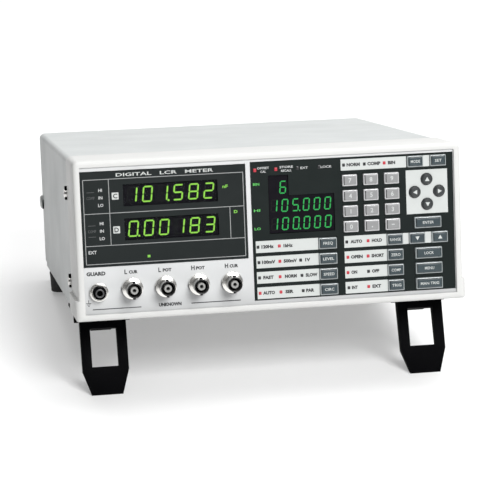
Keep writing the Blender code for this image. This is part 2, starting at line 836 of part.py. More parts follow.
def rear_feet(finishes, case):
    """Turned rubber feet, under the case with a gap, wider at the top."""
    profile = [
        (0, -FOOT_DROP),
        (REAR_FOOT_SOLE, -FOOT_DROP),
        (REAR_FOOT_RADIUS - 0.8 * MM, 0.8 * MM - FOOT_DROP),
        (REAR_FOOT_RADIUS, -GAP),
        (0, -GAP),
    ]
    shared = moved(turned(profile, 24), Matrix.Rotation(math.pi / 2, 4, "X"))
    for side, x in (("left", -REAR_FOOT_X), ("right", REAR_FOOT_X)):
        add_node(f"rear_foot_{side}", shared, finishes["rubber"], case, (x, REAR_FOOT_Y, 0), smooth=True)


def foot_brackets(finishes, case):
    """Each front foot: a plate under the case, a pad to stand on, and two ears that hold the leg."""
    half = LEG_WIDTH / 2 + GAP + EAR_THICKNESS
    top, under = -GAP, -GAP - BRACKET_THICKNESS
    base = block((-half, BRACKET_FRONT, under), (half, BRACKET_REAR, top))
    pad_half = PAD_WIDTH / 2
    bevel = 1 * MM
    pad = []
    for z, margin in ((top - BRACKET_THICKNESS / 2, 0), (bevel - FOOT_DROP, 0), (-FOOT_DROP, bevel)):
        outline = rectangle(margin - pad_half, pad_half - margin, PAD[0] + margin, PAD[1] - margin)
        pad.append([(x, y, z) for x, y in outline])
    side_view = arc(HINGE_Y, -HINGE_DROP, EAR_RADIUS, math.pi, math.pi, 8)
    side_view += [(HINGE_Y + EAR_RADIUS, top - BRACKET_THICKNESS / 2)]
    side_view += [(HINGE_Y - EAR_RADIUS, top - BRACKET_THICKNESS / 2)]
    hole = circle(HINGE_Y, -HINGE_DROP, PIN_RADIUS + PIN_CLEARANCE, 16)
    parts = [loft(pad)]
    for start in (-half, half - EAR_THICKNESS):
        ear = plate([side_view, hole], 0, EAR_THICKNESS)
        ear = moved(ear, Matrix.Rotation(math.pi / 2, 4, "Z"))
        parts.append(shifted(ear, start + EAR_THICKNESS))
    shared = combined(base, parts, "UNION")
    for side, x in (("left", -LEG_X), ("right", LEG_X)):
        add_node(f"front_foot_{side}", shared, finishes["black"], case, (x, 0, 0))


def hinge_height():
    """Height of the leg hinges above the ground, when the rear feet stand on their rear edges."""
    rear_edge = REAR_FOOT_Y + REAR_FOOT_SOLE
    case_height = rear_edge * math.sin(TILT) + FOOT_DROP * math.cos(TILT)
    return case_height - HINGE_Y * math.sin(TILT) - HINGE_DROP * math.cos(TILT), case_height


def leg_shape():
    """A tapering plate with a window, hung from a round barrel, its tip cut level with the ground."""
    lean = LEG_LEAN + TILT
    height, _ = hinge_height()
    nominal_tip = -height / math.cos(lean)
    half, tip_half = LEG_WIDTH / 2, LEG_TIP_WIDTH / 2
    outline = [
        (-half, 0),
        (-half, -LEG_SHOULDER),
        (-tip_half, nominal_tip),
        (tip_half, nominal_tip),
        (half, -LEG_SHOULDER),
        (half, 0),
    ]
    window = rectangle(-LEG_WINDOW_WIDTH / 2, LEG_WINDOW_WIDTH / 2, -LEG_WINDOW[1], -LEG_WINDOW[0])
    mesh = plate([outline, window], -1 * MM, 1 * MM)
    for vertex in mesh.vertices:
        along = vertex.co.z / nominal_tip
        front = LEG_FRONT_TOP + (LEG_FRONT_TIP - LEG_FRONT_TOP) * along
        vertex.co.y = LEG_BACK if vertex.co.y > 0 else -front
        if along > 0.999:
            vertex.co.z = nominal_tip + vertex.co.y * math.tan(lean)
    barrel_half = half - 0.1 * MM
    pin_half = half + GAP + EAR_THICKNESS - 0.5 * MM
    profile = [
        (0, -pin_half),
        (PIN_RADIUS, -pin_half),
        (PIN_RADIUS, -barrel_half),
        (BARREL_RADIUS, -barrel_half),
        (BARREL_RADIUS, barrel_half),
        (PIN_RADIUS, barrel_half),
        (PIN_RADIUS, pin_half),
        (0, pin_half),
    ]
    barrel = moved(turned(profile, 16), Matrix.Rotation(math.pi / 2, 4, "Z"))
    return combined(mesh, [barrel], "UNION")


def tilt_legs(finishes, case):
    shared = leg_shape()
    for side, x in (("left", -LEG_X), ("right", LEG_X)):
        pivot = add_empty(f"leg_{side}_pivot", (x, HINGE_Y, -HINGE_DROP), case)
        pivot.rotation_euler.x = -LEG_LEAN
        add_node(f"leg_{side}", shared, finishes["black"], pivot)


# ---------------------------------------------------------------- assembly


def stand_up(case):
    """Tips the case back onto its legs and centres its footprint on the origin."""
    _, height = hinge_height()
    case.rotation_euler.x = -TILT
    case.location = (0, 0, height)
    bpy.context.view_layer.update()
    depths = []
    for node in bpy.context.scene.objects:
        if node.type == "MESH":
            depths += [(node.matrix_world @ vertex.co).y for vertex in node.data.vertices]
    case.location.y = -(min(depths) + max(depths)) / 2
    bpy.context.view_layer.update()


def main():
    clear_scene()
    finishes = make_finishes()
    case = add_empty("case")
    builders = (
        front_bezel,
        top_cover,
        bottom_chassis,
        front_panel,
        display_window,
        keypad_panel,
        keys,
        test_terminals,
        guard_terminal,
        displays,
        front_board,
        main_board,
        power_transformer,
        rear_panel,
        mains_inlet,
        power_switch,
        rear_connectors,
        rear_feet,
        foot_brackets,
        tilt_legs,
    )
    for build in builders:
        build(finishes, case)
    stand_up(case)


main()
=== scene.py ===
"""The looks of a bench LCR meter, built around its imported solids.

Shapes are laid out in millimetres in the case's own axes: x to the right from the centre line,
y from the bezel's front face towards the rear, z up from the case's underside.
"""

import json
import math

import bmesh
import bpy
from mathutils import Matrix, Vector

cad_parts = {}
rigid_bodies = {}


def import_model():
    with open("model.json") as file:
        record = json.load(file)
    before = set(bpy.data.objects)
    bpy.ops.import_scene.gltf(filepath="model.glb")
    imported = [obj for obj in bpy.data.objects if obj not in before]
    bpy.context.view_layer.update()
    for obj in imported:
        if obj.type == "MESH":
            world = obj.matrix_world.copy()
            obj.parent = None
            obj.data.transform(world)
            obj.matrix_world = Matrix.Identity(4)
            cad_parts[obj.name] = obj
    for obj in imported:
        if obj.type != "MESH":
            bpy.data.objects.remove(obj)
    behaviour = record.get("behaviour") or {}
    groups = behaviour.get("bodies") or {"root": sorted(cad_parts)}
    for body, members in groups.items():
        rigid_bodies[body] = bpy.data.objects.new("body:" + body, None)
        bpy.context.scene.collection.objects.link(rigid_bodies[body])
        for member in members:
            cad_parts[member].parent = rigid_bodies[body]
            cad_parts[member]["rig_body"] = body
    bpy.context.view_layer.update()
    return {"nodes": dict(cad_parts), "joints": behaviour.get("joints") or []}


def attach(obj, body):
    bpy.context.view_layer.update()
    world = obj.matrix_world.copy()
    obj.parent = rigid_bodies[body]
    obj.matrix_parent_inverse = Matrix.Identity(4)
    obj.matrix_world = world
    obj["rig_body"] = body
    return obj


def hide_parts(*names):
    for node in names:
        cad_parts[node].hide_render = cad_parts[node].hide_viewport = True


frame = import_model()

MM = 0.001
QUARTER = math.pi / 2


# -------- the case's axes


def case_axes():
    """The case's rotation, and the matrix from its axes in millimetres to the frame in metres."""
    press = next(Vector(joint["axis"]) for joint in frame["joints"] if joint["child"] == "key_5")
    turn = Matrix.Rotation(math.asin(press.z), 4, "X")
    upright = turn.inverted()
    corners = [upright @ vertex.co for vertex in frame["nodes"]["front_bezel"].data.vertices]
    origin = Vector((0, min(c.y for c in corners), min(c.z for c in corners)))
    return turn, turn @ Matrix.Translation(origin) @ Matrix.Scale(MM, 4)


TURN, CASE = case_axes()
TO_CASE = CASE.inverted()


# -------- node materials


class Nodes:
    """A material's node tree, with short ways to add and link nodes."""

    def __init__(self, name):
        self.material = bpy.data.materials.new(f"{name}_finish")
        self.material.use_nodes = True
        self.tree = self.material.node_tree
        self.shader = self.tree.nodes["Principled BSDF"]
        self.place = self.add("ShaderNodeTexCoord", {}).outputs["Object"]

    def fill(self, node, inputs):
        """Gives each input its value, or links it to the output given for it."""
        for key, value in inputs.items():
            if isinstance(value, bpy.types.NodeSocket):
                self.tree.links.new(value, node.inputs[key])
            else:
                node.inputs[key].default_value = value

    def add(self, kind, inputs, **settings):
        node = self.tree.nodes.new(kind)
        for key, value in settings.items():
            setattr(node, key, value)
        self.fill(node, inputs)
        return node

    def set(self, **values):
        """Fills the shader's own inputs."""
        self.fill(self.shader, {key.replace("_", " "): value for key, value in values.items()})

    def noise(self, size, detail, stretch=(1, 1, 1)):
        """A noise value from 0 to 1 whose features are about size millimetres across."""
        scale = [s / (size * MM) for s in stretch]
        place = self.add("ShaderNodeMapping", {"Scale": scale, "Vector": self.place}).outputs["Vector"]
        inputs = {"Scale": 1, "Detail": detail, "Vector": place}
        return self.add("ShaderNodeTexNoise", inputs).outputs["Fac"]

    def ranged(self, value, low=0, high=1, start=0.3, end=0.7):
        """A value from low to high as the given one goes from start to end."""
        inputs = {"From Min": start, "From Max": end, "To Min": low, "To Max": high, "Value": value}
        return self.add("ShaderNodeMapRange", inputs).outputs["Result"]

    def between(self, factor, first, second):
        """A colour from first, at factor 0, to second, at factor 1."""
        first, second = ((*c, 1) if isinstance(c, tuple) else c for c in (first, second))
        inputs = {"Factor": factor, 6: first, 7: second}
        return self.add("ShaderNodeMix", inputs, data_type="RGBA").outputs[2]

    def bump(self, *heights):
        """Bumps stacked on each other: pairs of a height value and its depth in millimetres."""
        stacked = {}
        for height, depth in heights:
            node = self.add("ShaderNodeBump", {"Distance": depth * MM, "Height": height, **stacked})
            stacked = {"Normal": node.outputs["Normal"]}
        self.set(**stacked)


def scaled(colour, factor):
    return tuple(min(1.0, c * factor) for c in colour)


def surface(name, colour, rough, grain, depth, shade, patch, specular=0.5, worn=None, **settings):
    """A painted or moulded surface: cloudy shade, fine grain, uneven gloss and, if given an edge colour, that
    colour on sharp edges.

    grain and patch are the sizes of its fine and cloudy features, and depth that of the grain's
    bumps, in millimetres. shade is how far the colour strays, as a share of it.
    """
    n = Nodes(name)
    clouds = n.noise(patch, 4)
    fine = n.noise(grain, 3)
    tone = n.between(n.ranged(clouds), scaled(colour, 1 - shade), scaled(colour, 1 + shade))
    darker, lighter = scaled(colour, 1 - shade / 2), scaled(colour, 1 + shade / 2)
    speck = n.between(n.ranged(fine, 0, 1, 0.25, 0.75), darker, lighter)
    base = n.between(0.5, tone, speck)
    if worn:
        edge = n.ranged(n.add("ShaderNodeNewGeometry", {}).outputs["Pointiness"], 0, 1, 0.53, 0.60)
        patchy = n.ranged(n.noise(2.5, 3), 0, 1, 0.42, 0.62)
        both = n.add("ShaderNodeMath", {0: edge, 1: patchy}, operation="MULTIPLY")
        base = n.between(both.outputs[0], base, worn)
    n.set(Base_Color=base)
    smudge = n.noise(patch * 0.6, 5)
    n.set(Roughness=n.ranged(smudge, rough - 0.05, rough + 0.06))
    n.bump((fine, depth), (n.noise(grain * 6, 2), depth * 1.5))
    n.set(Specular_IOR_Level=specular, **settings)
    return n


def paint_shade_down(n, low, high, factor):
    """Paints shade into a finish on the case, from full at height high down to factor at height low."""
    start, end = ((CASE @ Vector((0, 0, z))).z for z in (low, high))
    split = n.add("ShaderNodeSeparateXYZ", {"Vector": n.place})
    amount = n.ranged(split.outputs["Z"], 1 - factor, 0, start, end)
    base = n.shader.inputs["Base Color"].links[0].from_socket
    n.set(Base_Color=n.between(amount, base, (0, 0, 0)))


def light_source(name, colour, strength):
    """A lit segment or lamp, its glow a little uneven."""
    n = Nodes(name)
    n.set(Emission_Color=n.between(n.ranged(n.noise(0.9, 2)), scaled(colour, 0.8), colour))
    n.set(Base_Color=n.between(n.ranged(n.noise(0.5, 2)), scaled(colour, 0.25), scaled(colour, 0.4)))
    n.set(Emission_Strength=strength, Roughness=0.35)
    return n


def brushed(name, colour, rough, size, stretch, depth):
    """Plated or turned metal, with fine lines along one direction."""
    n = Nodes(name)
    lines = n.noise(size, 3, stretch)
    clouds = n.noise(9, 3)
    n.set(Base_Color=n.between(n.ranged(clouds), scaled(colour, 0.9), scaled(colour, 1.05)))
    n.set(Roughness=n.ranged(lines, rough - 0.06, rough + 0.1))
    n.bump((lines, depth), (n.noise(1.2, 2), depth))
    n.set(Metallic=1.0)
    return n


def smoked_window():
    """Smoked acrylic: dark, see-through and glossy, with a faint haze of fine scratches."""
    n = Nodes("smoked_window")
    haze = n.ranged(n.noise(30, 4))
    n.set(Base_Color=n.between(haze, (0.008, 0.011, 0.012), (0.012, 0.015, 0.016)))
    n.set(Roughness=n.ranged(n.noise(14, 5), 0.22, 0.30))
    n.set(Alpha=0.08, IOR=1.45, Specular_IOR_Level=0.3)
    return n


def circuit_board():
    """Solder mask over copper: green, with darker gaps between the tracks."""
    n = Nodes("circuit_board")
    tracks = n.ranged(n.noise(3, 1, (1, 3, 1)), 0, 1, 0.48, 0.52)
    n.set(Base_Color=n.between(tracks, (0.010, 0.09, 0.035), (0.02, 0.17, 0.07)))
    n.set(Roughness=n.ranged(n.noise(6, 3), 0.3, 0.45))
    n.bump((tracks, 0.03))
    return n


def laminations():
    """Varnished iron sheets: fine dark lines between the sheets."""
    n = Nodes("laminations")
    wave = n.add("ShaderNodeTexWave", {"Scale": 600, "Vector": n.place}, bands_direction="Y")
    n.set(Base_Color=n.between(wave.outputs["Fac"], (0.05, 0.05, 0.055), (0.16, 0.15, 0.15)))
    n.set(Roughness=n.ranged(n.noise(5, 3), 0.35, 0.6))
    n.bump((wave.outputs["Fac"], 0.05))
    n.set(Metallic=0.5)
    return n


# Colour, roughness, grain, bump depth, shade, patch and specular level, as surface() takes them.
SURFACES = {
    "cover_paint": ((0.385, 0.403, 0.401), 0.42, 0.7, 0.012, 0.03, 60, 0.35),
    "bezel_plastic": ((0.513, 0.515, 0.505), 0.42, 0.45, 0.008, 0.025, 50, 0.1),
    "panel_paint": ((0.532, 0.540, 0.543), 0.40, 0.25, 0.005, 0.04, 30),
    "dark_film": ((0.004, 0.0075, 0.007), 0.42, 0.3, 0.003, 0.12, 25, 0.15),
    "window_field": ((0.0045, 0.0076, 0.0076), 0.42, 0.3, 0.002, 0.1, 25, 0.2),
    "grey_key": ((0.200, 0.202, 0.204), 0.42, 0.3, 0.006, 0.05, 8),
    "grey_key_edge": ((0.420, 0.422, 0.428), 0.22, 0.5, 0.004, 0.06, 6),
    # grey_key_shade is painted shade on the left side of each grey key's step, and the guard bush's own dark
    # grey.
    "grey_key_shade": ((0.0456, 0.0456, 0.0471), 0.3, 0.5, 0.004, 0.06, 6),
    "grey_key_step": ((0.228, 0.228, 0.232), 0.3, 0.5, 0.004, 0.06, 6),
    "slate_key": ((0.0198, 0.0334, 0.0395), 0.36, 0.3, 0.005, 0.08, 8),
    "slate_key_edge": ((0.228, 0.251, 0.255), 0.2, 0.5, 0.004, 0.12, 5),
    # slate_key_shade is painted shade on the left side of each slate key's step.
    "slate_key_shade": ((0.0091, 0.0137, 0.0152), 0.3, 0.5, 0.004, 0.1, 5),
    "slate_key_step": ((0.0228, 0.0319, 0.035), 0.3, 0.5, 0.004, 0.1, 5),
    "round_key": ((0.0167, 0.0198, 0.0205), 0.38, 0.3, 0.006, 0.1, 6),
    "black_plastic": ((0.002, 0.002, 0.0024), 0.5, 0.4, 0.008, 0.2, 15, 0.01),
    "black_rubber": ((0.016, 0.016, 0.017), 0.8, 0.25, 0.02, 0.2, 12),
    "display_module": ((0.0016, 0.0008, 0.0032), 0.4, 0.5, 0.001, 0.2, 10, 0.1),
    "unlit_segment": ((0.0053, 0.0061, 0.0061), 0.4, 0.5, 0.002, 0.1, 5, 0.1),
    "insulator": ((0.251, 0.251, 0.243), 0.45, 0.3, 0.006, 0.06, 4),
    "white_print": ((0.437, 0.456, 0.445), 0.5, 0.2, 0.003, 0.03, 20),
    "dark_print": ((0.012, 0.0125, 0.014), 0.5, 0.2, 0.003, 0.1, 10),
    "line_print": ((0.258, 0.266, 0.266), 0.5, 0.2, 0.003, 0.08, 10),
    "label_print": ((0.418, 0.426, 0.426), 0.5, 0.2, 0.003, 0.08, 10),
    "faint_print": ((0.057, 0.0608, 0.0623), 0.5, 0.2, 0.003, 0.1, 10),
    "lamp_off": ((0.0091, 0.0091, 0.0106), 0.3, 0.3, 0.003, 0.1, 4),
}
GLOSSY = {"Coat_Weight": 0.6, "Coat_Roughness": 0.08}
# What else surface() takes for a few of them.
EXTRAS = {
    # The bezel takes a paler colour on its sharp edges.
    "bezel_plastic": {"worn": (0.608, 0.608, 0.600)},
    "panel_paint": {"Metallic": 0.25},
    "grey_key_edge": GLOSSY,
    "slate_key_edge": GLOSSY,
}
# Colour, roughness, size and stretch of the lines, and bump depth, as brushed() takes them.
METALS = {
    "nickel": ((0.80, 0.79, 0.76), 0.2, 0.25, (1, 1, 1), 0.004),
    # Nickel painted dark as shade: the sockets' mouths, contacts and lugs, and the flanges' lower left edges.
    "dark_nickel": ((0.035, 0.035, 0.036), 0.4, 0.3, (1, 1, 1), 0.004),
    "dull_nickel": ((0.40, 0.40, 0.39), 0.3, 0.3, (1, 1, 1), 0.004),
    "plated_steel": ((0.62, 0.62, 0.61), 0.34, 0.35, (0.1, 1, 1), 0.01),
    "screw_steel": ((0.72, 0.71, 0.69), 0.24, 0.3, (1, 1, 1), 0.004),
    "gold": ((0.85, 0.62, 0.25), 0.25, 0.3, (1, 1, 1), 0.003),
}
# Colour and strength, as light_source() takes them.
GLOWS = {
    "lit_main": ((0.36, 0.88, 0.08), 0.62),
    "lit_small": ((0.005, 0.42, 0.07), 0.54),
    "lit_unit": ((0.20, 0.55, 0.06), 0.8),
    "lit_word": ((0.10, 0.55, 0.10), 0.7),
    "lamp_red": ((0.55, 0.02, 0.04), 0.6),
}
# Heights on the case between which shade is painted into the panel, and its shade at the lower one.
PANEL_PAINTED_SHADE = (2, 30, 0.74)


def finishes():
    """The material of every look, by the look's name."""
    made = {name: surface(name, *values, **EXTRAS.get(name, {})) for name, values in SURFACES.items()}
    # Painted shade: the panel darker towards the bottom.
    paint_shade_down(made["panel_paint"], *PANEL_PAINTED_SHADE)
    made["smoked_window"] = smoked_window()
    made["circuit_board"] = circuit_board()
    made["laminations"] = laminations()
    for table, build in ((METALS, brushed), (GLOWS, light_source)):
        made.update({name: build(name, *values) for name, values in table.items()})
    return {name: nodes.material for name, nodes in made.items()}


LOOK = finishes()


# -------- mesh building, in millimetres


def to_mesh(bm):
    bmesh.ops.recalc_face_normals(bm, faces=bm.faces)
    mesh = bpy.data.meshes.new("shape")
    bm.to_mesh(mesh)
    bm.free()
    return mesh


def joined(row, other):
    """The four corners of each face between two loops of points."""
    count = len(row)
    return [(row[i], row[(i + 1) % count], other[(i + 1) % count], other[i]) for i in range(count)]


def loft(loops, ring=False):
    """A solid through closed loops: capped at both ends, or closed as a ring."""
    bm = bmesh.new()
    rows = [[bm.verts.new(point) for point in loop] for loop in loops]
    for row, following in zip(rows, rows[1:]):
        for corners in joined(row, following):
            bm.faces.new(corners)
    if ring:
        for corners in joined(rows[-1], rows[0]):
            bm.faces.new(corners)
    else:
        bm.faces.new(rows[0])
        bm.faces.new(rows[-1])
    return to_mesh(bm)


def plate(contours, near, far):
    """A solid from y = near to y = far, in (x, z) contours: first the outline, then the holes."""
    bm = bmesh.new()
    ends = ([], [])
    for contour in contours:
        rows = [[bm.verts.new((x, y, z)) for x, z in contour] for y in (near, far)]
        for row, edges in zip(rows, ends):
            edges += [bm.edges.new((a, b)) for a, b in zip(row, row[1:] + row[:1])]
        for corners in joined(*rows):
            bm.faces.new(corners)
    for edges in ends:
        bmesh.ops.triangle_fill(bm, edges=edges, use_beauty=True, normal=(0, 1, 0))
    return to_mesh(bm)


def turned(profile, segments=48):
    """A shape turned about the y axis from a (radius, y) profile.

    It is closed if the profile runs from axis to axis or ends where it starts. SOCKET_SHELL and
    GUARD_SLEEVE do neither, and are open at their hidden rear ends.
    """
    bm = bmesh.new()
    angles = [2 * math.pi * i / segments for i in range(segments)]
    rows = []
    for radius, y in profile:
        if radius == 0:
            rows.append([bm.verts.new((0, y, 0))] * segments)
        else:
            rows.append([bm.verts.new((radius * math.cos(a), y, radius * math.sin(a))) for a in angles])
    for row, following in zip(rows, rows[1:]):
        for corners in joined(row, following):
            distinct = list(dict.fromkeys(corners))
            if len(distinct) > 2:
                bm.faces.new(distinct)
    return to_mesh(bm)


def rectangle(left, right, low, high):
    return [(left, low), (right, low), (right, high), (left, high)]


def around(x, z, width, height):
    return rectangle(x - width / 2, x + width / 2, z - height / 2, z + height / 2)


def arc(x, z, radius, start, turn, steps):
    angles = [start + turn * i / steps for i in range(steps + 1)]
    return [(x + radius * math.cos(a), z + radius * math.sin(a)) for a in angles]


def circle(x, z, radius, steps=32):
    return arc(x, z, radius, 0, 2 * math.pi, steps)[:-1]


def rounded(left, right, low, high, radius, steps):
    corners = (
        (right - radius, low + radius, -QUARTER),
        (right - radius, high - radius, 0),
        (left + radius, high - radius, QUARTER),
        (left + radius, low + radius, 2 * QUARTER),
    )
    return [point for x, z, start in corners for point in arc(x, z, radius, start, QUARTER, steps)]


def at_depth(outline, y):
    return [(x, y, z) for x, z in outline]


def shifted(mesh, x, y, z):
    mesh.transform(Matrix.Translation((x, y, z)))
    return mesh


def rotated(mesh, degrees, axis):
    mesh.transform(Matrix.Rotation(math.radians(degrees), 4, axis))
    return mesh


def placed(mesh, degrees, axis, x, y, z):
    """A mesh turned about an axis through the origin, then moved."""
    return shifted(rotated(mesh, degrees, axis), x, y, z)


def merged(meshes):
    """Several meshes as one."""
    bm = bmesh.new()
    for mesh in meshes:
        bm.from_mesh(mesh)
        bpy.data.meshes.remove(mesh)
    return to_mesh(bm)


def new_object(name, data):
    made = bpy.data.objects.new(name, data)
    bpy.context.scene.collection.objects.link(made)
    return made


def evaluated(holder):
    """The mesh of an object as its modifiers or its curve make it."""
    graph = bpy.context.evaluated_depsgraph_get()
    return bpy.data.meshes.new_from_object(holder.evaluated_get(graph))


# The height of a capital in Blender's own font, as a share of the letter size.
CAPITAL = 0.73


def lettering(text, x, z, height, y, width=None, bold=0.0):
    """Raised letters in Blender's own font, centred on (x, z), their faces at y."""
    curve = bpy.data.curves.new("letters", "FONT")
    curve.body = text
    curve.size = height / CAPITAL
    curve.align_x = "CENTER"
    curve.align_y = "CENTER"
    curve.resolution_u = 2
    curve.offset = bold
    curve.extrude = PRINT / 2
    holder = new_object("letters", curve)
    mesh = evaluated(holder)
    bpy.data.objects.remove(holder, do_unlink=True)
    bpy.data.curves.remove(curve)
    (left, right), (low, high) = (
        (min(places), max(places)) for places in zip(*(vertex.co.xy for vertex in mesh.vertices))
    )
    mesh.transform(Matrix.Translation((-(left + right) / 2, -(low + high) / 2, 0)))
    mesh.transform(Matrix.Diagonal((width / (right - left) if width else 1, 1, 1, 1)))
    rotated(mesh, 90, "X")
    return shifted(mesh, x, y + PRINT / 2, z)


def add_piece(name, mesh, look, slot=None, smooth=30, body="case", local=None, bevel=None):
    """Puts a mesh given in the case's axes in place, on its body, with its looks.

    slot is not used. Edges sharper than smooth, in degrees, stay sharp; 0 leaves every face flat.
    """
    mesh.name = name
    mesh.transform(CASE if local is None else CASE @ local)
    looks = [look] if isinstance(look, str) else look
    mesh.materials.clear()
    for each in looks:
        mesh.materials.append(LOOK[each])
    piece = new_object(name, mesh)
    if bevel:
        soften(piece, bevel)
    if smooth:
        piece.data.shade_smooth()
        piece.data.set_sharp_from_angle(angle=math.radians(smooth))
    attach(piece, body)
    slot = slot or look
    return piece


def soften(piece, width):
    """Rounds the sharp edges of a piece, by a width in millimetres."""
    modifier = piece.modifiers.new("soften", "BEVEL")
    modifier.width = width * MM
    modifier.segments = 3
    modifier.limit_method = "ANGLE"
    modifier.angle_limit = math.radians(32)
    mesh = evaluated(piece)
    piece.modifiers.clear()
    piece.data = mesh


# -------- sizes shared with the solids


HALF_WIDTH = 129.1
HEIGHT = 105.0
DEPTH = 298.0
CORNER = 4.0
BASE_CORNER = 1.6
CORNER_STEPS = 10
BEZEL_DEPTH = 50.0
BEZEL_WALL = 2.6
RIM_WIDTH = 4.4
RIM_THICKNESS = 1.2
# The ledge low on the bezel's sides: where it starts, how tall its slope is and how far it stands out.
LEDGE_HEIGHT = 13.6
LEDGE_SLOPE = 0.3
LEDGE_OUT = 1.8
COVER_HALF = 128.6
COVER_LOW = 1.0
COVER_HIGH = 104.1
COVER_FRONT = BEZEL_DEPTH + 0.3
COVER_REAR = DEPTH - 12.3
SHEET = 1.2
# Depths behind the bezel's face; a negative one is in front of it.
FILM_FACE = 1.2
PANEL_FACE = 1.5
WINDOW_REAR = 3.2
PANEL_REAR = 4.0
KEY_FACE = -0.8
# The height of a key, and of the middle of each row above the case's underside.
KEY_HEIGHT = 7.6
ROW_LOW = 11.8
ROW_PITCH = 10.24
# How thick print is, and how far it stands in front of what it is on.
PRINT = 0.1
RAISED = 0.04
BNC_X = (-93.5, -71.5, -49.5, -27.5)
BNC_NAMES = ("bnc_low_current", "bnc_low_voltage", "bnc_high_voltage", "bnc_high_current")
BNC_Z = 20.4
GUARD = (-115.5, 19.2)
REAR_FACE = 294.5


def row_z(row):
    """The height of a row of keys."""
    return ROW_LOW + row * ROW_PITCH


# -------- case


# Radius and steps of the bezel's rounded outer edge, and of the inner edge of its rim.
NOSE = 2.7
NOSE_STEPS = 8
LIP = 0.5
LIP_STEPS = 3


def bezel_loop(depth, margin, ledge=0.0):
    """One loop of the bezel: its outline at this depth, drawn in by a margin, wider below the ledge."""
    half, top = HALF_WIDTH - margin, HEIGHT - margin
    radius, base = max(CORNER - margin, 0.8), max(BASE_CORNER - margin, 0.5)
    side = [(half + ledge, LEDGE_HEIGHT), (half, LEDGE_HEIGHT + LEDGE_SLOPE)]
    side += arc(half - radius, top - radius, radius, 0, QUARTER, CORNER_STEPS)
    right = arc(half + ledge - base, margin + base, base, -QUARTER, QUARTER, CORNER_STEPS) + side
    return at_depth(right + [(-x, z) for x, z in reversed(right)], depth)


def bezel():
    """The front frame, a ring from its rear edge over the outside, nose, rim and step to its inside."""
    back = ((0, 0.35), (0.15, 0.1), (0.5, 0))
    loops = [bezel_loop(BEZEL_DEPTH - forward, margin, LEDGE_OUT) for forward, margin in back]
    for step in range(NOSE_STEPS + 1):
        angle = QUARTER * step / NOSE_STEPS
        depth, margin = NOSE * (1 - math.sin(angle)), NOSE * (1 - math.cos(angle))
        loops.append(bezel_loop(depth, margin, LEDGE_OUT * (1 - step / NOSE_STEPS)))
    for step in range(LIP_STEPS + 1):
        angle = QUARTER * step / LIP_STEPS
        loops.append(bezel_loop(LIP * (1 - math.cos(angle)), RIM_WIDTH - LIP * (1 - math.sin(angle))))
    inside = ((RIM_THICKNESS, RIM_WIDTH), (RIM_THICKNESS, BEZEL_WALL), (BEZEL_DEPTH, BEZEL_WALL))
    loops += [bezel_loop(depth, margin) for depth, margin in inside]
    piece = add_piece("bezel_shell", loft(loops, ring=True), "bezel_plastic", smooth=40)
    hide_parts("front_bezel")


def channel(half, low, high, radius, wall):
    """The outline of a sheet bent into a channel that opens downwards, with rounded bends."""
    outer = [(half, low)]
    outer += arc(half - radius, high - radius, radius, 0, QUARTER, CORNER_STEPS)
    outer += arc(radius - half, high - radius, radius, QUARTER, QUARTER, CORNER_STEPS)
    outer += [(-half, low)]
    bend = radius - wall
    inner = [(wall - half, low)]
    inner += arc(radius - half, high - radius, bend, 2 * QUARTER, -QUARTER, CORNER_STEPS)
    inner += arc(half - radius, high - radius, bend, QUARTER, -QUARTER, CORNER_STEPS)
    inner += [(half - wall, low)]
    return outer + inner


def cover():
    """The folded sheet over the sides and top."""
    outline = channel(COVER_HALF, COVER_LOW, COVER_HIGH, CORNER, SHEET)
    piece = add_piece("cover_sheet", plate([outline], COVER_FRONT, COVER_REAR), "cover_paint", smooth=35)
    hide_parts("top_cover")


def refined(node, look, width):
    """The node's own shape with its sharp edges rounded off by a width, and smooth shading."""
    source = frame["nodes"][node]
    mesh = source.data.copy()
    bm = bmesh.new()
    bm.from_mesh(mesh)
    bmesh.ops.remove_doubles(bm, verts=bm.verts, dist=1e-6)
    bmesh.ops.dissolve_limit(bm, angle_limit=math.radians(1.5), verts=bm.verts, edges=bm.edges)
    bmesh.ops.recalc_face_normals(bm, faces=bm.faces)
    bm.to_mesh(mesh)
    bm.free()
    mesh.transform(TO_CASE)
    piece = add_piece(f"{node}_finished", mesh, look, body=source["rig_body"], bevel=width)
    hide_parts(node)


# Solids whose shape is right already, which only take their finishes.
PAINTED = {
    "bottom_chassis": "plated_steel",
    "front_board": "circuit_board",
    "main_board": "circuit_board",
    "main_display": "window_field",
    "sub_display": "display_module",
    "power_transformer": "laminations",
    "front_panel": "panel_paint",
}


def plain_nodes():
    for node, look in PAINTED.items():
        data = frame["nodes"][node].data
        data.materials.clear()
        data.materials.append(LOOK[look])


# -------- front plates and print


def flat_piece(name, meshes, look, slot=None):
    """All the print or flat parts of one look on the case, as one piece of closed shapes."""
    add_piece(name, merged(meshes), look, slot, 0)


def printed(contour, face):
    """A thin printed shape, sunk into the surface behind its face."""
    return plate([contour], face, face + PRINT)


def hline(left, right, z, face, thick=0.42):
    return printed(rectangle(left, right, z - thick / 2, z + thick / 2), face)


def vline(x, low, high, face, thick=0.42):
    return printed(rectangle(x - thick / 2, x + thick / 2, low, high), face)


# Left, right, low and high.
WINDOW = (-124.4, -16.0, 35.7, 97.7)
WINDOW_FRAME = (-122.7, -17.6, 37.4, 92.6)
KEYPAD = (-12.4, 124.0, 7.2, 98.6)
FIELD_FACE = FILM_FACE - 0.03
DIGIT_SPAN = (-96.8, -34.6)
DIGIT_HALF = 7.2
DIGIT_ROWS = (81.5, 59.2)
READOUT = ((-1, 50.7), (43, 50.7), (43, 75.6), (12.5, 75.6), (12.5, 89.3), (-1, 89.3))


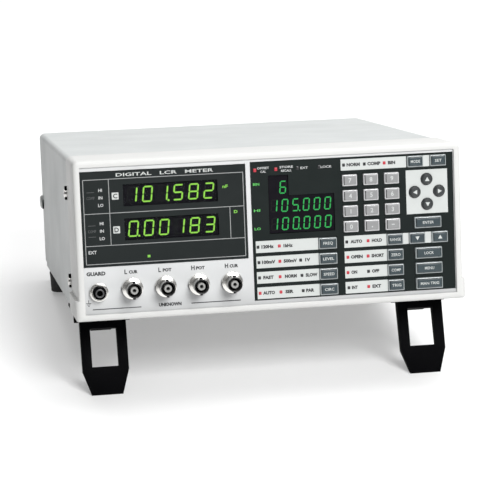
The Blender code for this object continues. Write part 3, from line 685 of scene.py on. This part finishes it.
def window_plate():
    """The smoked window, and the opaque print on it around the digits."""
    pane = plate([rounded(*WINDOW, 0.5, 3)], FILM_FACE, WINDOW_REAR)
    piece = add_piece("window_pane", pane, "smoked_window", smooth=0)
    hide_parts("display_window")
    left, right, low, high = WINDOW
    inset = 0.02
    field = rounded(left + inset, right - inset, low + inset, high - inset, 0.5, 3)
    openings = [rounded(*DIGIT_SPAN, z - DIGIT_HALF, z + DIGIT_HALF, 0.6, 3) for z in DIGIT_ROWS]
    mesh = plate([field, *openings], FIELD_FACE, FIELD_FACE + PRINT)
    add_piece("window_surround", mesh, "window_field", "dark_film", 0)


def window_print():
    """The lines, words, squares and unit lamps on the window."""
    face = FIELD_FACE - RAISED
    left, right, low, high = WINDOW_FRAME
    divide, base = 70.4, 49.4
    lines = [hline(left, right, z, face) for z in (high, low)]
    lines += [vline(x, low, high, face) for x in (left, right)]
    lines += [hline(left, right, z, face) for z in (divide, base)]
    lines += [vline(-106, base, high, face), vline(-27, base, divide, face)]
    flat_piece("window_lines", lines, "line_print", "light_print")
    marks = []
    for top in (85.6, 63.9):
        for step, word in enumerate(("HI", "IN", "LO")):
            marks.append(lettering(word, -111.6, top - 4.9 * step, 2.0, face, bold=0.06))
    marks.append(lettering("EXT", -118.3, 45.3, 2.2, face, bold=0.05))
    flat_piece("window_marks", marks, "label_print", "light_print")
    title = [lettering("DIGITAL   LCR   METER", -69, 95.1, 2.2, face, 64, 0.05)]
    squares = [printed(rounded(-104.2, -99.8, z - 2.3, z + 2.3, 0.3, 2), face) for z in (81.4, 59.3)]
    flat_piece("window_title", title + squares, "white_print", "light_print")
    letters = [
        lettering("C", -102, 81.4, 3.1, face - RAISED, bold=0.12),
        lettering("D", -102, 59.3, 3.1, face - RAISED, bold=0.12),
    ]
    flat_piece("window_letters", letters, "dark_print")
    faint = [lettering("COMP", -118, z, 1.9, face, 5.2) for z in (80.7, 59)]
    faint += [hline(-120.5, -115.6, z, face, 0.3) for z in (84.4, 62.7, 55.4)]
    flat_piece("window_faint_marks", faint, "faint_print", "light_print")
    units = [
        lettering("nF", -29.6, 83.9, 2.1, face, 3.6, 0.08),
        lettering("D", -23.2, 66.9, 2.0, face, 2.4, 0.08),
        printed(around(-81.6, 40.9, 1.8, 1.6), face),
    ]
    flat_piece("main_unit_lamps", units, "lit_unit", "display_green")


SEGMENTS = "abcdefg"
SEGMENT_GAP = 0.12
DIGITS = {"0": "abcdef", "1": "bc", "2": "abdeg", "3": "abcdg", "5": "acdfg", "6": "acdefg", "8": "abcdefg"}


def segment_bars(width, height, thick, gap):
    """The seven bars of a digit about its centre, as six-sided outlines."""
    x, z, h = width / 2 - thick / 2, height / 2 - thick / 2, thick / 2
    half = x - gap

    def level(at):
        return [
            (-half, at), (h - half, at - h), (half - h, at - h),
            (half, at), (half - h, at + h), (h - half, at + h),
        ]

    def upright(at, low, high):
        low, high = low + gap, high - gap
        return [
            (at, low), (at + h, low + h), (at + h, high - h),
            (at, high), (at - h, high - h), (at - h, low + h),
        ]

    sides = {"b": upright(x, 0, z), "c": upright(x, -z, 0), "e": upright(-x, -z, 0), "f": upright(-x, 0, z)}
    return {"a": level(z), "d": level(-z), "g": level(0), **sides}


def number(text, first, pitch, z, size, thick, y, slant):
    """Lit and unlit segments of a number. A point belongs to the digit before it."""
    width, height = size
    bars = segment_bars(width, height, thick, SEGMENT_GAP)
    lit, unlit = [], []
    place = -1
    for character in text:
        if character == ".":
            x = first + place * pitch + width / 2 + thick * 0.9
            side = thick * 1.15
            lit.append(printed(around(x - slant * height / 2, z - height / 2 + thick / 2, side, side), y))
            continue
        place += 1
        centre = first + place * pitch
        for name in SEGMENTS:
            shape = printed([(centre + a + slant * b, z + b) for a, b in bars[name]], y)
            (lit if name in DIGITS[character] else unlit).append(shape)
    return lit, unlit


def readout(size, rows, look, *layout):
    """Rows of digits as one lit and one unlit piece. Each row is its text, its first digit's x and its z."""
    lit, unlit = [], []
    pitch, *rest = layout
    for text, first, z in rows:
        shown, hidden = number(text, first, pitch, z, *rest)
        lit += shown
        unlit += hidden
    flat_piece(f"{size}_digits_lit", lit, look, "display_green")
    flat_piece(f"{size}_digits_unlit", unlit, "unlit_segment", "display_module")


def readouts():
    """Two rows of digits on their modules behind the window, and three small ones on the keypad plate."""
    face = 3.6
    modules = [plate([around(-65.7, z, 66, 17)], face - 0.3, face + 0.2) for z in DIGIT_ROWS]
    flat_piece("main_digit_modules", modules, "display_module")
    rows = [(text, -90.7, z) for text, z in zip(("101.582", "0.00183"), DIGIT_ROWS)]
    readout("main", rows, "lit_main", 10.1, (6.6, 10.6), 1.0, face - 0.35, 0.12)
    rows = (("6", 8.9, 81.2), ("105.000", 2.6, 69.1), ("100.000", 2.6, 57))
    readout("small", rows, "lit_small", 7.2, (4.5, 8.6), 0.85, 1.9 - RAISED, 0.1)


# -------- keypad plate


# The white strips: left, right, half height, and the rows of keys they lie in.
STRIPS = (
    (-10.7, 31.2, 3.9, (3, 2, 1, 0)),
    (48.8, 77.6, 3.9, (3, 2, 1, 0)),
    (48.0, 92.4, 3.7, (8,)),
    (103.9, 108.2, 3.7, (8,)),
    (88.8, 92.7, 3.7, (3,)),
    (103.9, 108.3, 3.7, (3,)),
)
ARROW_FIELD = (91.9, 120.2, 58.6, 87.9)
# Each row's lamps: x, whether it is lit, its word, and the word's left and right.
LAMPS = (
    (3, ((-9.3, 0, "120Hz", -7, 1.2), (5, 1, "1kHz", 7.8, 14))),
    (2, ((-9, 0, "100mV", -7, 2), (5, 1, "500mV", 7.5, 16.5), (19, 0, "1V", 22, 25.5))),
    (1, ((-9, 0, "FAST", -6.5, 0.5), (4.8, 1, "NORM", 8, 16), (19.5, 0, "SLOW", 22, 30))),
    (0, ((-9, 1, "AUTO", -7, 1), (5, 1, "SER", 8, 13.5), (20, 0, "PAR", 22, 27.5))),
    (3, ((50.5, 0, "AUTO", 53, 61), (65, 1, "HOLD", 67.5, 74.5))),
    (2, ((51, 1, "OPEN", 53, 61), (64.7, 1, "SHORT", 67, 75.5))),
    (1, ((50.7, 1, "ON", 53, 57), (64.7, 0, "OFF", 67, 72))),
    (0, ((51, 0, "INT", 53, 57), (64.5, 1, "EXT", 67, 73))),
    (8, ((50, 0, "NORM", 52, 61), (64, 0, "COMP", 66, 75), (77.5, 1, "BIN", 80, 85))),
)
TOP_LAMPS_Z = 93.3
# The lamps above the small display: x, whether it is lit, its lines, and the first line's left and right.
TOP_LAMPS = (
    (-9.5, 1, ("OFFSET", "CAL"), -8, 0),
    (4.5, 1, ("STORE", "RECALL"), 7, 16),
    (19, 0, ("EXT",), 21, 26),
    (33.5, 0, ("LOCK",), 34.5, 42),
)
READOUT_WORDS = ((-9, 84, "BIN"), (-9, 66.7, "HI"), (-9, 54.6, "LO"))


def keypad_plate():
    """The dark plate with its key openings and white strips."""
    contours = [rectangle(*KEYPAD), list(READOUT)]
    for x, z, width in key_places().values():
        if width:
            contours.append(around(x, z, width + 0.6, KEY_HEIGHT + 0.6))
        else:
            contours.append(circle(x, z, ARROW_RADIUS + 0.3))
    piece = add_piece("keypad_film", plate(contours, FILM_FACE, PANEL_REAR), "dark_film", smooth=0)
    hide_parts("keypad_panel")
    face = FILM_FACE - RAISED
    strips = []
    for left, right, half, rows in STRIPS:
        for z in map(row_z, rows):
            strips.append(printed(rectangle(left, right, z - half, z + half), face))
    flat_piece("keypad_white_fields", strips + [arrow_field(face)], "white_print", "light_print")


def arrow_field(face):
    """The light square behind the four arrow keys, open around each key."""
    contours = [rectangle(*ARROW_FIELD)]
    for name in ("up", "left", "right", "down"):
        x, z, _ = key_places()[f"key_{name}"]
        contours.append(circle(x, z, ARROW_RADIUS + 0.35))
    return plate(contours, face, face + PRINT)


def keypad_print():
    """The lamps and words on the keypad plate and its strips."""
    face = FILM_FACE - RAISED
    word_face = face - RAISED
    dark, white = [], []
    lamps = ([], [])
    for row, members in LAMPS:
        z = row_z(row)
        for x, lit, word, left, right in members:
            dark.append(lettering(word, (left + right) / 2, z, 2.1, word_face, right - left, 0.17))
            lamps[lit].append(lens(x, z, 1.9, 2.1, word_face))
    for x, lit, words, left, right in TOP_LAMPS:
        lamps[lit].append(lens(x, TOP_LAMPS_Z, 1.9, 2.3, face))
        for line, word in enumerate(words):
            z = TOP_LAMPS_Z + (len(words) - 1) * 1.2 - 2.4 * line
            wide = None if line else right - left
            white.append(lettering(word, (left + right) / 2, z, 1.5, face, wide, 0.04))
    flat_piece("keypad_words", dark, "dark_print")
    flat_piece("keypad_light_words", white, "label_print", "light_print")
    words = [lettering(word, x, z, 1.7, face, 4.2, 0.05) for x, z, word in READOUT_WORDS]
    flat_piece("readout_words_lit", words, "lit_word", "display_green")
    add_piece("lamps_off", merged(lamps[0]), "lamp_off", "black_plastic")
    add_piece("lamps_lit", merged(lamps[1]), "lamp_red")


def lens(x, z, width, height, face):
    """A small lamp lens: a slightly domed rectangle."""
    loops = []
    for y, margin in ((0.2, 0), (0.0, 0), (-0.12, 0.12), (-0.2, 0.4)):
        left, right = x - width / 2 + margin, x + width / 2 - margin
        low, high = z - height / 2 + margin, z + height / 2 - margin
        loops.append(at_depth(rounded(left, right, low, high, 0.3, 3), face + y))
    return loft(loops)


# -------- keys


ARROW_RADIUS = 3.8
ARROW_CENTRE = (106, row_z(6))
ARROW_OFFSET = 8.3
DIGIT_NAMES = (("0", "point", "minus"), ("1", "2", "3"), ("4", "5", "6"), ("7", "8", "9"))
DIGIT_COLUMN = 53.6
DIGIT_PITCH = 14.2
DIGIT_WIDTH = 10
DIGIT_LOW_ROW = 4
# The other keys: a column's x, the width of its caps, and the name and row of each.
KEY_COLUMNS = (
    (37.5, 12.3, (("circuit", 0), ("speed", 1), ("level", 2), ("frequency", 3))),
    (83.2, 11, (("source", 0), ("compare", 1), ("zero", 2), ("range", 3))),
    (98.3, 11, (("range_down", 3), ("mode", 8))),
    (113.9, 11, (("range_up", 3), ("set", 8))),
    (106, 18.4, (("trigger", 0), ("menu", 1), ("lock", 2), ("enter", 4))),
)
# The legends that aren't the key's own name, and how wide a legend of so many letters is at most.
LEGENDS = {
    "point": ".",
    "minus": "-",
    "circuit": "CIRC",
    "frequency": "FREQ",
    "source": "TRIG",
    "compare": "COMP",
    "trigger": "MAN TRIG",
}
LEGEND_WIDTHS = {3: 4.6, 4: 6.4, 5: 7.4, 8: 12.6}
QUARTER_TURNS = {"up": 0, "right": 1, "down": 2, "left": 3, "range_up": 0, "range_down": 2}


def key_places():
    """Every key's centre x and z, with the width of its cap, or None for a round one."""
    places = {}
    for row, names in enumerate(DIGIT_NAMES, DIGIT_LOW_ROW):
        for column, name in enumerate(names):
            places[f"key_{name}"] = (DIGIT_COLUMN + DIGIT_PITCH * column, row_z(row), DIGIT_WIDTH)
    for x, width, members in KEY_COLUMNS:
        for name, row in members:
            places[f"key_{name}"] = (x, row_z(row), width)
    x, z = ARROW_CENTRE
    step = ARROW_OFFSET
    for name, dx, dz in (("up", 0, step), ("left", -step, 0), ("right", step, 0), ("down", 0, -step)):
        places[f"key_{name}"] = (x + dx, z + dz, None)
    return places


# Depth of each loop down a key, and how far it is drawn in from the shaft.
CAP = (
    (-0.74, 2.2), (-0.77, 1.8), (KEY_FACE, 1.4), (-0.74, 1.25),
    (-0.25, 0.95), (-0.3, 0.7), (-0.3, 0.55), (-0.15, 0.25),
)
SHAFT = ((0.1, 0.06), (0.35, 0), (4.3, 0), (4.3, -0.6), (5.0, -0.6))


def rectangular_cap(width):
    """A cap with a raised face, a sloping step around it and a clear rim."""
    loops = []
    for y, margin in CAP + SHAFT:
        half_width, half_height = width / 2 - margin, KEY_HEIGHT / 2 - margin
        radius = max(0.25, 0.6 - margin * 0.15)
        loops.append(at_depth(rounded(-half_width, half_width, -half_height, half_height, radius, 3), y))
    return loft(loops)


def round_cap():
    """The same profile turned, with its steps squeezed to fit the small radius."""
    profile = []
    for y, margin in CAP + SHAFT:
        profile.append((ARROW_RADIUS - min(margin, 1.6) * (0.75 if margin > 0 else 1), y))
    return turned([(0, CAP[0][0]), *profile, (0, SHAFT[-1][0])], 40)


def cap_regions(mesh, width):
    """Each face's finish: 0 the cap's face, 1 rim and shaft, 2 the step's left side in painted shade, 3 its
    rest.
    """
    found = []
    for polygon in mesh.polygons:
        x, y, z = polygon.center
        inward = width / 2 - abs(x)
        if y < -0.72:
            found.append(0)
        elif y < -0.27 and min(inward, KEY_HEIGHT / 2 - abs(z)) > 0.8:
            found.append(2 if x < 0 and inward < 1.4 else 3)
        else:
            found.append(1)
    return found


def keys():
    for name, (x, z, width) in key_places().items():
        mesh = rectangular_cap(width) if width else round_cap()
        short = name.removeprefix("key_")
        numeric = any(short in names for names in DIGIT_NAMES)
        kind = "grey_key" if numeric else "slate_key"
        # The third look paints shade on the left side of each cap's step.
        looks = [kind, f"{kind}_edge", f"{kind}_shade", f"{kind}_step"] if width else ["round_key"]
        indices = cap_regions(mesh, width) if width else [0] * len(mesh.polygons)
        cap = add_piece(f"{name}_cap", shifted(mesh, x, 0, z), looks, kind, 50, name)
        cap.data.polygons.foreach_set("material_index", indices)
        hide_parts(name)
        add_piece(f"{name}_legend", key_legend(short, x, z, width), "white_print", "light_print", 0, name)


def key_legend(short, x, z, width):
    """What is printed on a key: an arrow head, a mark or a word."""
    if short in QUARTER_TURNS:
        return triangle(x, z, 1.4 if width else 1.5, QUARTER_TURNS[short])
    text = LEGENDS.get(short, short.upper())
    if text == ".":
        return printed(circle(x, z - 0.8, 0.45, 16), KEY_FACE)
    if text == "-":
        return printed(around(x, z, 2.0, 0.5), KEY_FACE)
    if len(text) == 1:
        return lettering(text, x, z, 3.0, KEY_FACE, bold=0.05)
    return lettering(text, x, z, 1.9, KEY_FACE, min(LEGEND_WIDTHS[len(text)], width - 3), 0.03)


def triangle(x, z, size, quarter_turns):
    """A printed arrow head, pointing up after no quarter turns and right after one."""
    points = [(-size, -0.8 * size), (size, -0.8 * size), (0, size)]
    for _ in range(quarter_turns):
        points = [(b, -a) for a, b in points]
    return printed([(x + a, z + b) for a, b in points], KEY_FACE)


# -------- terminals and panel print


# Profiles as (radius, y). A socket's shell goes from its bore out to its mouth, barrel and flange.
SOCKET_SHELL = [
    (0, 3.9), (0, -4.4), (3.9, -4.4), (4.05, -4.6), (4.05, -12.1), (4.2, -12.4), (4.35, -12.5), (4.6, -12.5),
    (4.8, -12.35), (4.85, -12.1), (4.85, -6.2), (4.6, -6.0), (4.6, -4.9), (4.85, -4.7), (4.85, -1.7),
    (5.0, -1.6), (6.6, -1.6), (6.9, -1.45), (7.0, -1.2), (7.0, 1.2), (4.6, 1.2), (4.6, 3.9),
]
LUG = [(0, 0), (1.0, 0), (1.0, 1.1), (0.85, 1.35), (0.6, 1.5), (0, 1.5)]
INSULATOR = [
    (0, -4.5), (2.5, -4.5), (2.55, -10.9), (2.4, -11.2), (1.3, -11.2), (1.15, -10.9), (1.15, -6), (0, -6),
]
CONTACT = [
    (0, -5.9), (0.8, -5.9), (0.8, -8.2), (0.65, -8.4), (0.5, -8.4), (0.45, -8), (0.45, -7), (0, -7),
]
# A black floor deep in the gap between insulator and shell, standing in for the shade there.
WELL = [(0, -4.5), (3.0, -4.5), (3.0, -7.5), (4.03, -7.5), (4.03, -4.4), (0, -4.4)]
# What goes inside the shell: name, profile, segments, look and slot.
SOCKET_PARTS = (
    ("insulator", INSULATOR, 48, "insulator", "light_print"),
    # The contact's dark metal is painted shade of the hole around it.
    ("contact", CONTACT, 24, "dark_nickel", "nickel"),
    # The well's black is painted shade.
    ("well", WELL, 48, "black_plastic", "black_plastic"),
)
GUARD_BUSH = ((1.95, -5.0), (1.95, -6.1), (2.1, -6.2), (2.75, -6.2), (2.9, -6.1), (2.9, -5.0))
GUARD_SLEEVE = [
    (0, 1.0), (0, -2.5), (2.05, -2.5), (2.05, -5.7), (2.3, -6.0),
    (3.6, -6.0), (4.0, -5.85), (4.2, -5.5), (4.2, -2.6), (4.2, 1.0),
]
GUARD_COLLAR = [
    (4.2, 1.2), (4.2, -2.4), (4.5, -2.7), (5.2, -2.7), (5.6, -2.4),
    (5.7, -1.1), (6.0, -1.0), (6.1, -0.7), (6.1, 1.2), (4.2, 1.2),
]


def bnc_shell():
    """The plated shell of a coaxial socket, with its flange, two bayonet lugs and bore."""
    shell = turned(SOCKET_SHELL, 64)
    lugs = [placed(turned(LUG, 20), side * 90, "X", 0, -9.5, side * 4.5) for side in (-1, 1)]
    return merged([shell, *lugs])


def bnc_region(x, y, z):
    """A shell face's finish: 0 the flange, 1 nickel painted dark as shade on its lower left edge, the mouth
    and the lugs, 2 the barrel.
    """
    radius = math.hypot(x, z)
    if y < -11.9 or (y < -8.4 and radius > 4.9):
        return 1
    if radius > 6.85:
        return 1 if z < 1 and x < 4 else 0
    return 2 if y < -1.7 else 0


def terminals():
    for x, name in zip(BNC_X, BNC_NAMES):
        mesh = shifted(bnc_shell(), x, 0, BNC_Z)
        regions = [bnc_region(p.center.x - x, p.center.y, p.center.z - BNC_Z) for p in mesh.polygons]
        shell = add_piece(f"{name}_shell", mesh, ["nickel", "dark_nickel", "dull_nickel"], "nickel", 35)
        shell.data.polygons.foreach_set("material_index", regions)
        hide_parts(name)
        for part, profile, segments, look, slot in SOCKET_PARTS:
            add_piece(f"{name}_{part}", shifted(turned(profile, segments), x, 0, BNC_Z), look, slot, 35)
    x, z = GUARD
    bush = loft([at_depth(circle(x, z, radius, 40), y) for radius, y in GUARD_BUSH], ring=True)
    add_piece("guard_bush", bush, "grey_key_shade", "black_plastic", 35)
    add_piece("guard_sleeve", shifted(turned(GUARD_SLEEVE, 56), x, 0, z), "black_plastic", smooth=35)
    piece = add_piece("guard_collar", shifted(turned(GUARD_COLLAR, 56), x, 0, z), "nickel", smooth=35)
    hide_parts("guard_terminal")


def panel_print():
    """Words, lines and the earth mark on the light panel around the terminals."""
    face = PANEL_FACE - RAISED
    marks = [lettering("GUARD", -116.8, 31.2, 2.4, face, 12.5, 0.18)]
    for x, side, word in ((-93.8, "L", "CUR"), (-71.5, "L", "POT"), (-49.5, "H", "POT"), (-27.2, "H", "CUR")):
        marks.append(lettering(side, x - 3.5, 31.4, 2.9, face, 1.7 if side == "L" else 2.3, 0.15))
        marks.append(lettering(word, x + 1.4, 31.1, 2.0, face, 5.8, 0.15))
    marks.append(lettering("UNKNOWN", -69, 8.3, 2.1, face, 15, 0.18))
    marks += [hline(-120, -88, 7.7, face, 0.6), hline(-55, -22, 8.1, face, 0.6)]
    x, z = -122.4, 12
    marks += [vline(x, z, z + 2.2, face, 0.4)]
    for step, half in enumerate((1.7, 1.1, 0.5)):
        marks.append(hline(x - half, x + half, z - 0.9 * step, face, 0.4))
    flat_piece("panel_words", marks, "dark_print")


# -------- screws


def screw_head(radius, height, recess=0.45, shoulder=0.35):
    """A screw's pan head towards -y: straight sides up to a shoulder, a dome and a cross recess."""
    dome = [(0, 0.6), (radius, 0.6)]
    flat = 0.5 + 0.4 * shoulder
    steps = 4
    for step in range(steps + 1):
        angle = QUARTER * step / steps
        across = flat + (1 - flat) * math.cos(angle)
        dome.append((radius * across, -height * (shoulder + (1 - shoulder) * math.sin(angle))))
    dome.append((0, -height))
    head = turned(dome, 40)
    arm, half = radius * 0.52, radius * 0.11
    cross = [
        (half, half), (arm, half), (arm, -half), (half, -half), (half, -arm), (-half, -arm),
        (-half, -half), (-arm, -half), (-arm, half), (-half, half), (-half, arm), (half, arm),
    ]
    return cut(head, plate([cross], -height - 1, -height + recess))


def cut(first, other):
    """The first mesh with the other cut from it."""
    holders = [new_object("holder", mesh) for mesh in (first, other)]
    modifier = holders[0].modifiers.new("cut", "BOOLEAN")
    modifier.operation = "DIFFERENCE"
    modifier.object = holders[1]
    result = evaluated(holders[0])
    for holder in holders:
        bpy.data.objects.remove(holder, do_unlink=True)
    return result


COVER_SCREW_Y = 54.4
BOSS_Y = 291.9
BOSS = [(0, 0.5), (4.6, 0.5), (4.6, -2.0), (4.4, -2.25), (4.0, -2.33), (0, -2.33)]
WASHER = [(0, 0.5), (5.15, 0.5), (5.15, -0.7), (4.95, -0.9), (0, -0.9)]
# The oval cup of a cover screw, black as the painted shade of its recess: each loop's y and how far it is
# drawn in.
CUP = ((0.3, 0), (-1.5, 0), (-1.75, 0.12), (-1.8, 0.4))


def side_screws():
    """The cover's screws, in dark oval cups at the bezel joint that stand in for the shade of their recesses,
    and the large ones at the rear.
    """
    heads, cups, bosses, rings = [], [], [], []
    for side in (-1, 1):
        for z in (20.5, 80):
            head = screw_head(2.8, 1.9, 0.3, 0.75)
            heads.append(placed(head, side * 90, "Z", side * (COVER_HALF + 0.45), COVER_SCREW_Y, z - 0.5))
            loops = [at_depth(rounded(m - 1.9, 1.9 - m, m - 4.7, 4.7 - m, 1.9 - m, 8), y) for y, m in CUP]
            cups.append(placed(loft(loops), side * 90, "Z", side * COVER_HALF, COVER_SCREW_Y, z))
        slot = plate([around(0, 0, 7, 1.1)], -3.5, -1.5)
        bosses.append(placed(cut(turned(BOSS), slot), side * 90, "Z", side * COVER_HALF, BOSS_Y, 51))
        rings.append(placed(turned(WASHER), side * 90, "Z", side * COVER_HALF, BOSS_Y, 50.4))
    add_piece("cover_screws", merged(heads), "screw_steel")
    # Black cups: painted shade in the screws' recesses.
    add_piece("cover_screw_shade_cups", merged(cups), "black_plastic")
    add_piece("side_boss_screws", merged(bosses), "screw_steel")
    add_piece("side_boss_washers", merged(rings), "black_plastic")


# -------- rear


# The rear's solids, their looks and how far their edges are rounded.
REAR_SOLIDS = (
    ("rear_panel", "cover_paint", 0.25),
    ("mains_inlet", "black_plastic", 0.25),
    ("power_switch_body", "black_plastic", 0.3),
    ("power_rocker", "black_plastic", 0.4),
    ("remote_connector", "plated_steel", 0.25),
    ("handler_connector", "plated_steel", 0.25),
)
# Screws: radius and height of the head, y of the face under it, and the places.
REAR_SCREWS = (
    (1.6, 0.9, 296.8, ((72, 30), (112, 30))),
    (1.6, 0.9, 295.8, ((-13, 66), (37, 66), (-77, 66), (-43, 66))),
    (2.2, 1.1, REAR_FACE, ((-122, 97), (122, 97), (-122, 8), (122, 8), (0, 97), (0, 8))),
)
# The interface connectors: contacts in a row, x, half the insert's width and half its height.
CONNECTORS = ((18, 12, 18.2, 3.6), (12, -60, 12.2, 2.6))
CONNECTOR_Z = 66
# Each word's x, z and width.
REAR_WORDS = {
    "REMOTE": (12, 77, 16),
    "HANDLER": (-60, 77, 18),
    "POWER": (92, 87, 14),
    "AC INPUT": (92, 15, 18),
}
# The rocker's own axes in the case's, pressed in at the top, and how far each half of its face slopes.
ROCKER_AXES = Matrix.Translation((92, 289.5, 70)) @ Matrix.Rotation(math.radians(10), 4, "X")
ROCKER_SLOPE = math.degrees(math.atan2(1.8, 8.2))


# A dark plate in the shape of a vent slot, painted as the shade in it.
def vent_shadow_plate(x, low, high, near, far):
    return plate([rounded(x, x + 3, low, high, 1.4, 5)], near, far)


def rear():
    """The rear panel with its connectors, screws and words, and dark plates painted as the shade in its vent
    slots.
    """
    for node, look, width in REAR_SOLIDS:
        refined(node, look, width)
    screws = []
    for radius, height, depth, places in REAR_SCREWS:
        for x, z in places:
            screws.append(placed(screw_head(radius, height), 180, "Z", x, depth, z))
    add_piece("rear_screws", merged(screws), "screw_steel")
    z = CONNECTOR_Z
    pins, inserts = [], []
    for count, x, half, tall in CONNECTORS:
        for row in (-1, 1):
            for index in range(count):
                place = (x + (index - (count - 1) / 2) * 1.9, z + row * 1.7)
                pins.append(plate([around(*place, 0.9, 0.9)], 297.6, 297.9))
        inserts.append(plate([rounded(x - half, x + half, z - tall, z + tall, 1.0, 4)], 297.2, 297.82))
    flat_piece("connector_contacts", pins, "gold", "nickel")
    add_piece("connector_inserts", merged(inserts), "black_plastic")
    near, far = REAR_FACE - 0.2, REAR_FACE + 0.06
    # Painted shade where the vent slots are.
    shadow_plates = [vent_shadow_plate(-112 + column * 8.2, 14, 42, near, far) for column in range(11)]
    flat_piece("rear_vent_shadows", shadow_plates, "black_plastic")
    words = []
    for word, (x, z, width) in REAR_WORDS.items():
        mesh = lettering(word, -x, z, 2.3, 0, width)
        words.append(placed(mesh, 180, "Z", 0, REAR_FACE - 0.06 + PRINT, 0))
    flat_piece("rear_words", words, "dark_print")
    mark = placed(printed(rectangle(-0.35, 0.35, -6.6, -3.2), 0), ROCKER_SLOPE, "X", 0, 4.92, 0)
    add_piece("rocker_mark", mark, "white_print", "light_print", 0, "power_rocker", ROCKER_AXES)


# -------- feet, legs and underside


REAR_FOOT_X = 118.5
REAR_FOOT_Y = 262
# A rear foot from its dished sole up, as (radius, height).
REAR_FOOT = [
    (0, -15.2), (4.5, -15.2), (5.5, -15.8), (6.5, -16), (8.4, -16), (9.0, -15.7), (9.3, -15.1),
    (9.75, -4), (10, -2.4), (10, -0.9), (9.7, -0.4), (9.2, -0.3), (0, -0.3),
]


def rear_feet():
    for side, x in (("left", -REAR_FOOT_X), ("right", REAR_FOOT_X)):
        foot = placed(turned(REAR_FOOT, 56), 90, "X", x, REAR_FOOT_Y, 0)
        piece = add_piece(f"rear_foot_{side}_rubber", foot, "black_rubber", smooth=35)
        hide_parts(f"rear_foot_{side}")


def legs():
    for side in ("left", "right"):
        refined(f"leg_{side}", "black_plastic", 0.45)
        refined(f"front_foot_{side}", "black_plastic", 0.3)


def underside():
    """Screws through the tray and into the feet, and dark plates painted as the shade in the tray's vent
    slots.
    """
    places = [(x, y) for x in (-110, 44) for y in (68, 268)] + [(70, 200), (106, 250)]
    screws = [placed(screw_head(2.2, 1.0), 90, "X", x, y, 0.25) for x, y in places]
    add_piece("underside_screws", merged(screws), "screw_steel")
    firsts = [first + column * 8 for first in (-92, 44) for column in range(7)]
    # Painted shade where the tray's vent slots are.
    shadow_plates = [rotated(vent_shadow_plate(x, -190, -150, 0, 0.25), 90, "X") for x in firsts]
    flat_piece("underside_vent_shadows", shadow_plates, "black_plastic")


# -------- floor, light and camera


FLOOR_HALF = 6
# Just under the soles, so that none lies in the floor's own plane.
FLOOR_Z = -0.0001


def floor():
    n = surface("floor", (0.60, 0.60, 0.60), 0.6, 3.0, 0.02, 0.01, 300)
    n.set(Emission_Color=(1, 1, 1, 1), Emission_Strength=0.27)
    mesh = bpy.data.meshes.new("floor")
    corners = rectangle(-FLOOR_HALF, FLOOR_HALF, -FLOOR_HALF, FLOOR_HALF)
    mesh.from_pydata([(x, y, FLOOR_Z) for x, y in corners], [], [(0, 1, 2, 3)])
    mesh.materials.append(n.material)
    ground = new_object("floor", mesh)


def area_light(name, place, target, size, power):
    data = bpy.data.lights.new(name, "AREA")
    data.shape = "RECTANGLE"
    data.size, data.size_y = size
    data.energy = power
    light = new_object(name, data)
    light.location = place
    light.rotation_euler = (Vector(target) - Vector(place)).to_track_quat("-Z", "Y").to_euler()


def lights():
    world = bpy.data.worlds.new("studio")
    bpy.context.scene.world = world
    world.use_nodes = True
    background = world.node_tree.nodes["Background"]
    background.inputs["Color"].default_value = (1, 1, 1, 1)
    background.inputs["Strength"].default_value = 0.15
    bpy.context.scene.view_settings.view_transform = "Standard"
    area_light("key_light", (0.50, -2.0, 1.5), (0, 0, 0.08), (0.9, 0.9), 67)
    area_light("top_light", (0.35, 0.3, 1.9), (0, 0, 0.1), (2.2, 1.8), 46)
    area_light("back_light", (0.3, 2.4, 0.7), (0, 0, 0.1), (3.0, 1.2), 15)


# The camera's place, its line of sight and its upward direction, in the case's axes.
CAMERA_PLACE = (-241.9, -1354.9, 217.3)
CAMERA_LOOK = (0.1639, 0.9782, -0.1272)
CAMERA_UP = (0.0583, 0.1191, 0.9912)
FOCAL_LENGTH = 151.7
SENSOR_WIDTH = 36


def camera():
    """A long lens, above and to the left of the front."""
    look = Vector(CAMERA_LOOK).normalized()
    right = look.cross(Vector(CAMERA_UP)).normalized()
    axes = Matrix((right, right.cross(look), -look)).transposed().to_4x4()
    data = bpy.data.cameras.new("camera")
    data.sensor_width = SENSOR_WIDTH
    data.lens = FOCAL_LENGTH
    view = new_object("camera", data)
    view.matrix_world = Matrix.Translation(CASE @ Vector(CAMERA_PLACE)) @ TURN @ axes
    bpy.context.scene.camera = view


def main():
    plain_nodes()
    bezel()
    cover()
    window_plate()
    window_print()
    readouts()
    keypad_plate()
    keypad_print()
    keys()
    terminals()
    panel_print()
    side_screws()
    rear()
    rear_feet()
    legs()
    underside()
    floor()
    lights()
    camera()


main()
